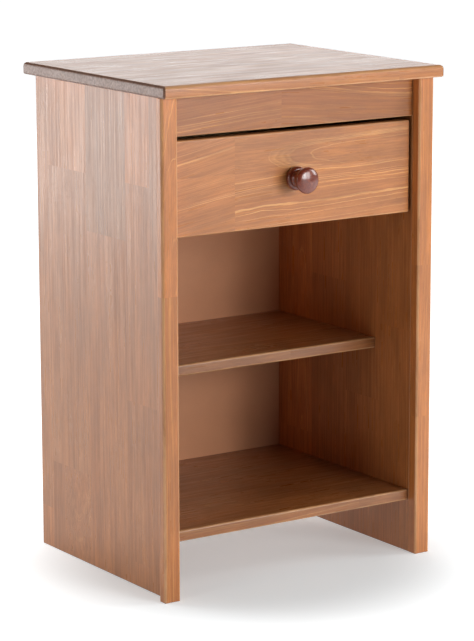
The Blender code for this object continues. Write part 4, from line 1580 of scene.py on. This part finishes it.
@dataclass
class Fasteners:
    """The screws, and the dowels inside the joints."""

    finishes: Finishes
    radius: float = 0.00175
    head_radius: float = 0.0033
    head_thick: float = 0.0011
    pitch: float = 0.7  # of the thread, as a share of the radius
    root: float = 0.8  # likewise
    point: float = 0.3  # likewise
    plain: float = 0.0008  # of the shank, under the head
    slot_long: float = 1.1  # as shares of the head's radius and thickness
    slot_wide: float = 0.26
    slot_deep: float = 0.75
    pin_head: float = 0.0014
    pin_crown: float = 0.0004
    pin_rim: float = 0.0002
    pin_shoulder: float = 0.0003
    pin_shank: float = 0.45  # as a share of the head's radius
    pin_length: float = 0.0145
    pin_point: float = 0.0025
    pin_proud: float = 0.0003
    pin_from_end: float = 0.030
    pins_per_row: int = 4

    def screw_profile(
        self, length: float, radius: float, head_radius: float, head_thick: float
    ) -> list[tuple[float, float]]:
        """Draws a pan-head screw from the middle of its head to its point.

        Args:
            length: Under the head.
            radius: Of the thread.
            head_radius: Of the head.
            head_thick: The head's thickness.

        Returns:
            The profile's points.
        """
        head = arc((0.0, -head_thick), (head_radius, head_thick), 90, 0, 8)
        pitch, root = radius * self.pitch, radius * self.root
        thread = []
        for i in range(int((length - 2 * radius) / pitch)):
            at = -head_thick - self.plain - i * pitch
            thread += [(root, at), (radius, at - pitch * 0.35), (root, at - pitch * 0.7)]
        tip = -head_thick - length
        return head + [(root, -head_thick)] + thread + [(radius * self.point, tip + 0.0002), (0.0, tip)]

    def screws(
        self, name: str, body: str, nodes: list[str], facing: Vector,
        sizes: tuple[float, float, float] | None = None,
    ) -> None:
        """Builds screws of one size that face one way, in the place of some nodes.

        Args:
            name: The piece's name.
            body: The body they are on.
            nodes: The nodes.
            facing: The way that the heads face.
            sizes: The thread's radius, the head's radius and its thickness, if not the usual ones.
        """
        radius, head_radius, head_thick = sizes or (self.radius, self.head_radius, self.head_thick)
        low, high = box_corners(nodes[0])
        long = max(high - low) - head_thick
        profile = self.screw_profile(long, radius, head_radius, head_thick)
        recess = (head_radius * self.slot_long, head_radius * self.slot_wide, head_thick * self.slot_deep)
        TurnedSet(
            name, body, "plated_steel", self.finishes.plated, profile, [seat_of(n, facing) for n in nodes],
            facing, tuple(nodes), steps=32, recess=recess,
        ).build()

    def build(self) -> None:
        """Builds the screws and dresses the dowels."""
        for side, sign in SIDES:
            nodes = [f"cabinet_slide_screw_{n}_{side}" for n in (1, 2)]
            self.screws(f"channel_screws_{side}", "cabinet", nodes, Vector((-sign, 0, 0)))
            nodes = [f"drawer_slide_screw_{n}_{side}" for n in (1, 2)]
            self.screws(f"track_screws_{side}", "drawer", nodes, Vector((0, 0, -1)))
        self.screws("knob_bolt", "drawer", ["knob_screw"], Vector((0, 1, 0)), (0.002, 0.0045, 0.0024))
        self.screws("back_panel_screw", "cabinet", ["back_screw"], Vector((0, 1, 0)))
        self.build_pins()
        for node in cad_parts:
            if "dowel" in node:
                dress(node, self.finishes.beech)

    def build_pins(self) -> None:
        """The panel pins that hold the back to the rail and to both shelves."""
        back = box_corners("back_panel")[1].y + self.pin_proud
        places = []
        for node in ("back_rail", "middle_shelf", "bottom_shelf"):
            low, high = box_corners(node)
            span = high.x - low.x - 2 * self.pin_from_end
            for i in range(self.pins_per_row):
                along = low.x + self.pin_from_end + span * i / (self.pins_per_row - 1)
                places.append(Vector((along, back, mid_height(node))))
        head, shank = self.pin_head, self.pin_head * self.pin_shank
        rim = self.pin_crown + self.pin_rim
        crown = arc((0.0, -self.pin_crown), (head, self.pin_crown), 90, 0, 5)
        nail = [(shank, -rim - self.pin_shoulder), (shank, self.pin_point - self.pin_length)]
        profile = [*crown, (head, -rim), *nail, (0.0, -self.pin_length)]
        TurnedSet(
            "panel_pins", "cabinet", "plated_steel", self.finishes.plated, profile, places,
            Vector((0, 1, 0)), (), steps=20,
        ).build()


# ---------------------------------------------------------------- the studio


@dataclass(frozen=True)
class Softbox:
    """A rectangular studio light that looks at a point."""

    name: str
    place: Vector
    aim: Vector
    size: tuple[float, float]
    power: float
    colour: Colour = (1.0, 1.0, 1.0)

    def build(self) -> bpy.types.Object:
        """Makes the light, which the camera itself doesn't see.

        Returns:
            The light.
        """
        lamp = bpy.data.lights.new(self.name, "AREA")
        lamp.shape = "RECTANGLE"
        lamp.size, lamp.size_y = self.size
        lamp.energy = self.power
        lamp.color = self.colour
        made = bpy.data.objects.new(self.name, lamp)
        made.location = self.place
        made.rotation_euler = (self.aim - self.place).to_track_quat("-Z", "Y").to_euler()
        made.visible_camera = False
        bpy.context.scene.collection.objects.link(made)
        return made


@dataclass
class Studio:
    """Floor, lights and camera."""

    azimuth: float = -33.81
    elevation: float = 11.48
    roll: float = -0.15
    distance: float = 3.694
    target: Vector = field(default_factory=lambda: Vector((0.0134, 0.0112, 0.3129)))
    lens: float = 154.73
    sensor: float = 36.0
    surround: float = 0.02
    # The floor glows less round the object, which paints its shadow there, and more beyond it.
    painted_shadow_glow: float = 0.26
    sweep_glow: float = 1.0
    floor_half: float = 12.0
    paper: Colour = (0.75, 0.80, 0.82)
    shade_middle: Spot = (-0.01, -0.07, 0.0)
    shade_reach: tuple[float, float] = (0.15, 0.42)
    rear_way: Spot = (0.56, 0.83, 0.0)
    front_reach: tuple[float, float] = (-1.0, -0.45)
    front_glow: tuple[float, float] = (0.05, 0.72)

    def build(self) -> None:
        """Builds the studio."""
        self.build_floor()
        self.build_world()
        self.build_lights()
        self.build_camera()
        bpy.context.scene.view_settings.view_transform = "Standard"

    def build_floor(self) -> None:
        """A plain pale floor that glows: dimmer round the object, as a painted shadow, and brighter beyond
        it.
        """
        mesh = bpy.data.meshes.new("floor")
        half = self.floor_half
        corners = [(-half, -half, 0), (half, -half, 0), (half, half, 0), (-half, half, 0)]
        mesh.from_pydata(corners, [], [(0, 1, 2, 3)])
        floor = plain_object("floor", mesh)
        made, graph, shader = new_material("floor_paper")
        graph.put(shader.inputs["Base Color"], rgba(self.paper))
        graph.put(shader.inputs["Roughness"], 0.9)
        graph.put(shader.inputs["Emission Color"], (1.0, 1.0, 1.0, 1.0))
        place = graph.node("ShaderNodeTexCoord").outputs["Object"]
        # The floor's glow drops round the object: a painted shadow.
        distance = graph.vector("DISTANCE", place, self.shade_middle)
        glow_round_painted_shadow = graph.ease(distance, *self.shade_reach, self.painted_shadow_glow, self.sweep_glow)
        rearwards = graph.vector("DOT_PRODUCT", place, self.rear_way)
        front = graph.ease(rearwards, *self.front_reach, *self.front_glow)
        seen = graph.node("ShaderNodeLightPath").outputs["Is Camera Ray"]
        glow = graph.math("MULTIPLY", glow_round_painted_shadow, graph.math("MAXIMUM", front, seen))
        graph.put(shader.inputs["Emission Strength"], glow)
        mesh.materials.append(made)

    def build_world(self) -> None:
        """A faint even surround, which shows white."""
        world = bpy.data.worlds.new("studio")
        world.use_nodes = True
        graph = Graph(world.node_tree)
        graph.tree.nodes.clear()
        light = graph.node("ShaderNodeBackground")
        graph.put(light.inputs["Color"], (1.0, 1.0, 1.0, 1.0))
        seen = graph.node("ShaderNodeLightPath").outputs["Is Camera Ray"]
        graph.put(light.inputs["Strength"], graph.math("MAXIMUM", seen, self.surround))
        graph.put(graph.node("ShaderNodeOutputWorld").inputs["Surface"], light.outputs["Background"])
        bpy.context.scene.world = world

    def build_lights(self) -> None:
        """Softboxes round the object."""
        centre = Vector((0.0, 0.0, 0.35))
        for lamp in (
            Softbox("key_low", Vector((1.2, -2.75, 1.0)), centre, (1.2, 1.2), 32.0),
            Softbox("key_front", Vector((0.6, -3.15, 1.0)), centre, (0.9, 1.0), 25.0),
            Softbox("key_right", Vector((2.6, -1.4, 1.4)), centre, (1.2, 1.2), 33.0),
            Softbox("overhead", Vector((0.0, 0.6, 2.8)), Vector((0.0, 0.0, 0.0)), (2.4, 2.0), 22.0),
            Softbox("left_back", Vector((-1.65, 2.2, 0.8)), centre, (1.5, 1.6), 32.0),
            Softbox("left_edge", Vector((-2.7, -0.82, 0.8)), centre, (0.45, 1.5), 8.5),
            Softbox("back", Vector((2.4, 3.7, 1.3)), Vector((0.0, 0.0, 0.6)), (3.0, 1.6), 27.0),
        ):
            lamp.build()

    def build_camera(self) -> None:
        """The camera, which looks at the target from its azimuth and elevation."""
        turn, rise = math.radians(self.azimuth), math.radians(self.elevation)
        back = Vector((math.sin(turn) * math.cos(rise), -math.cos(turn) * math.cos(rise), math.sin(rise)))
        data = bpy.data.cameras.new("camera")
        data.lens = self.lens
        data.sensor_width = self.sensor
        camera = bpy.data.objects.new("camera", data)
        camera.location = self.target + back * self.distance
        facing = (-back).to_track_quat("-Z", "Y").to_matrix()
        rolled = facing @ Matrix.Rotation(math.radians(self.roll), 3, "Z")
        camera.rotation_euler = rolled.to_euler()
        bpy.context.scene.collection.objects.link(camera)
        bpy.context.scene.camera = camera


def main() -> None:
    """Builds the nightstand and the studio round it."""
    finishes = Finishes()
    Carcass(finishes).build()
    Drawer(finishes).build()
    RollerSlides(finishes).build()
    Fasteners(finishes).build()
    Studio().build()


if __name__ == "__main__":
    main()
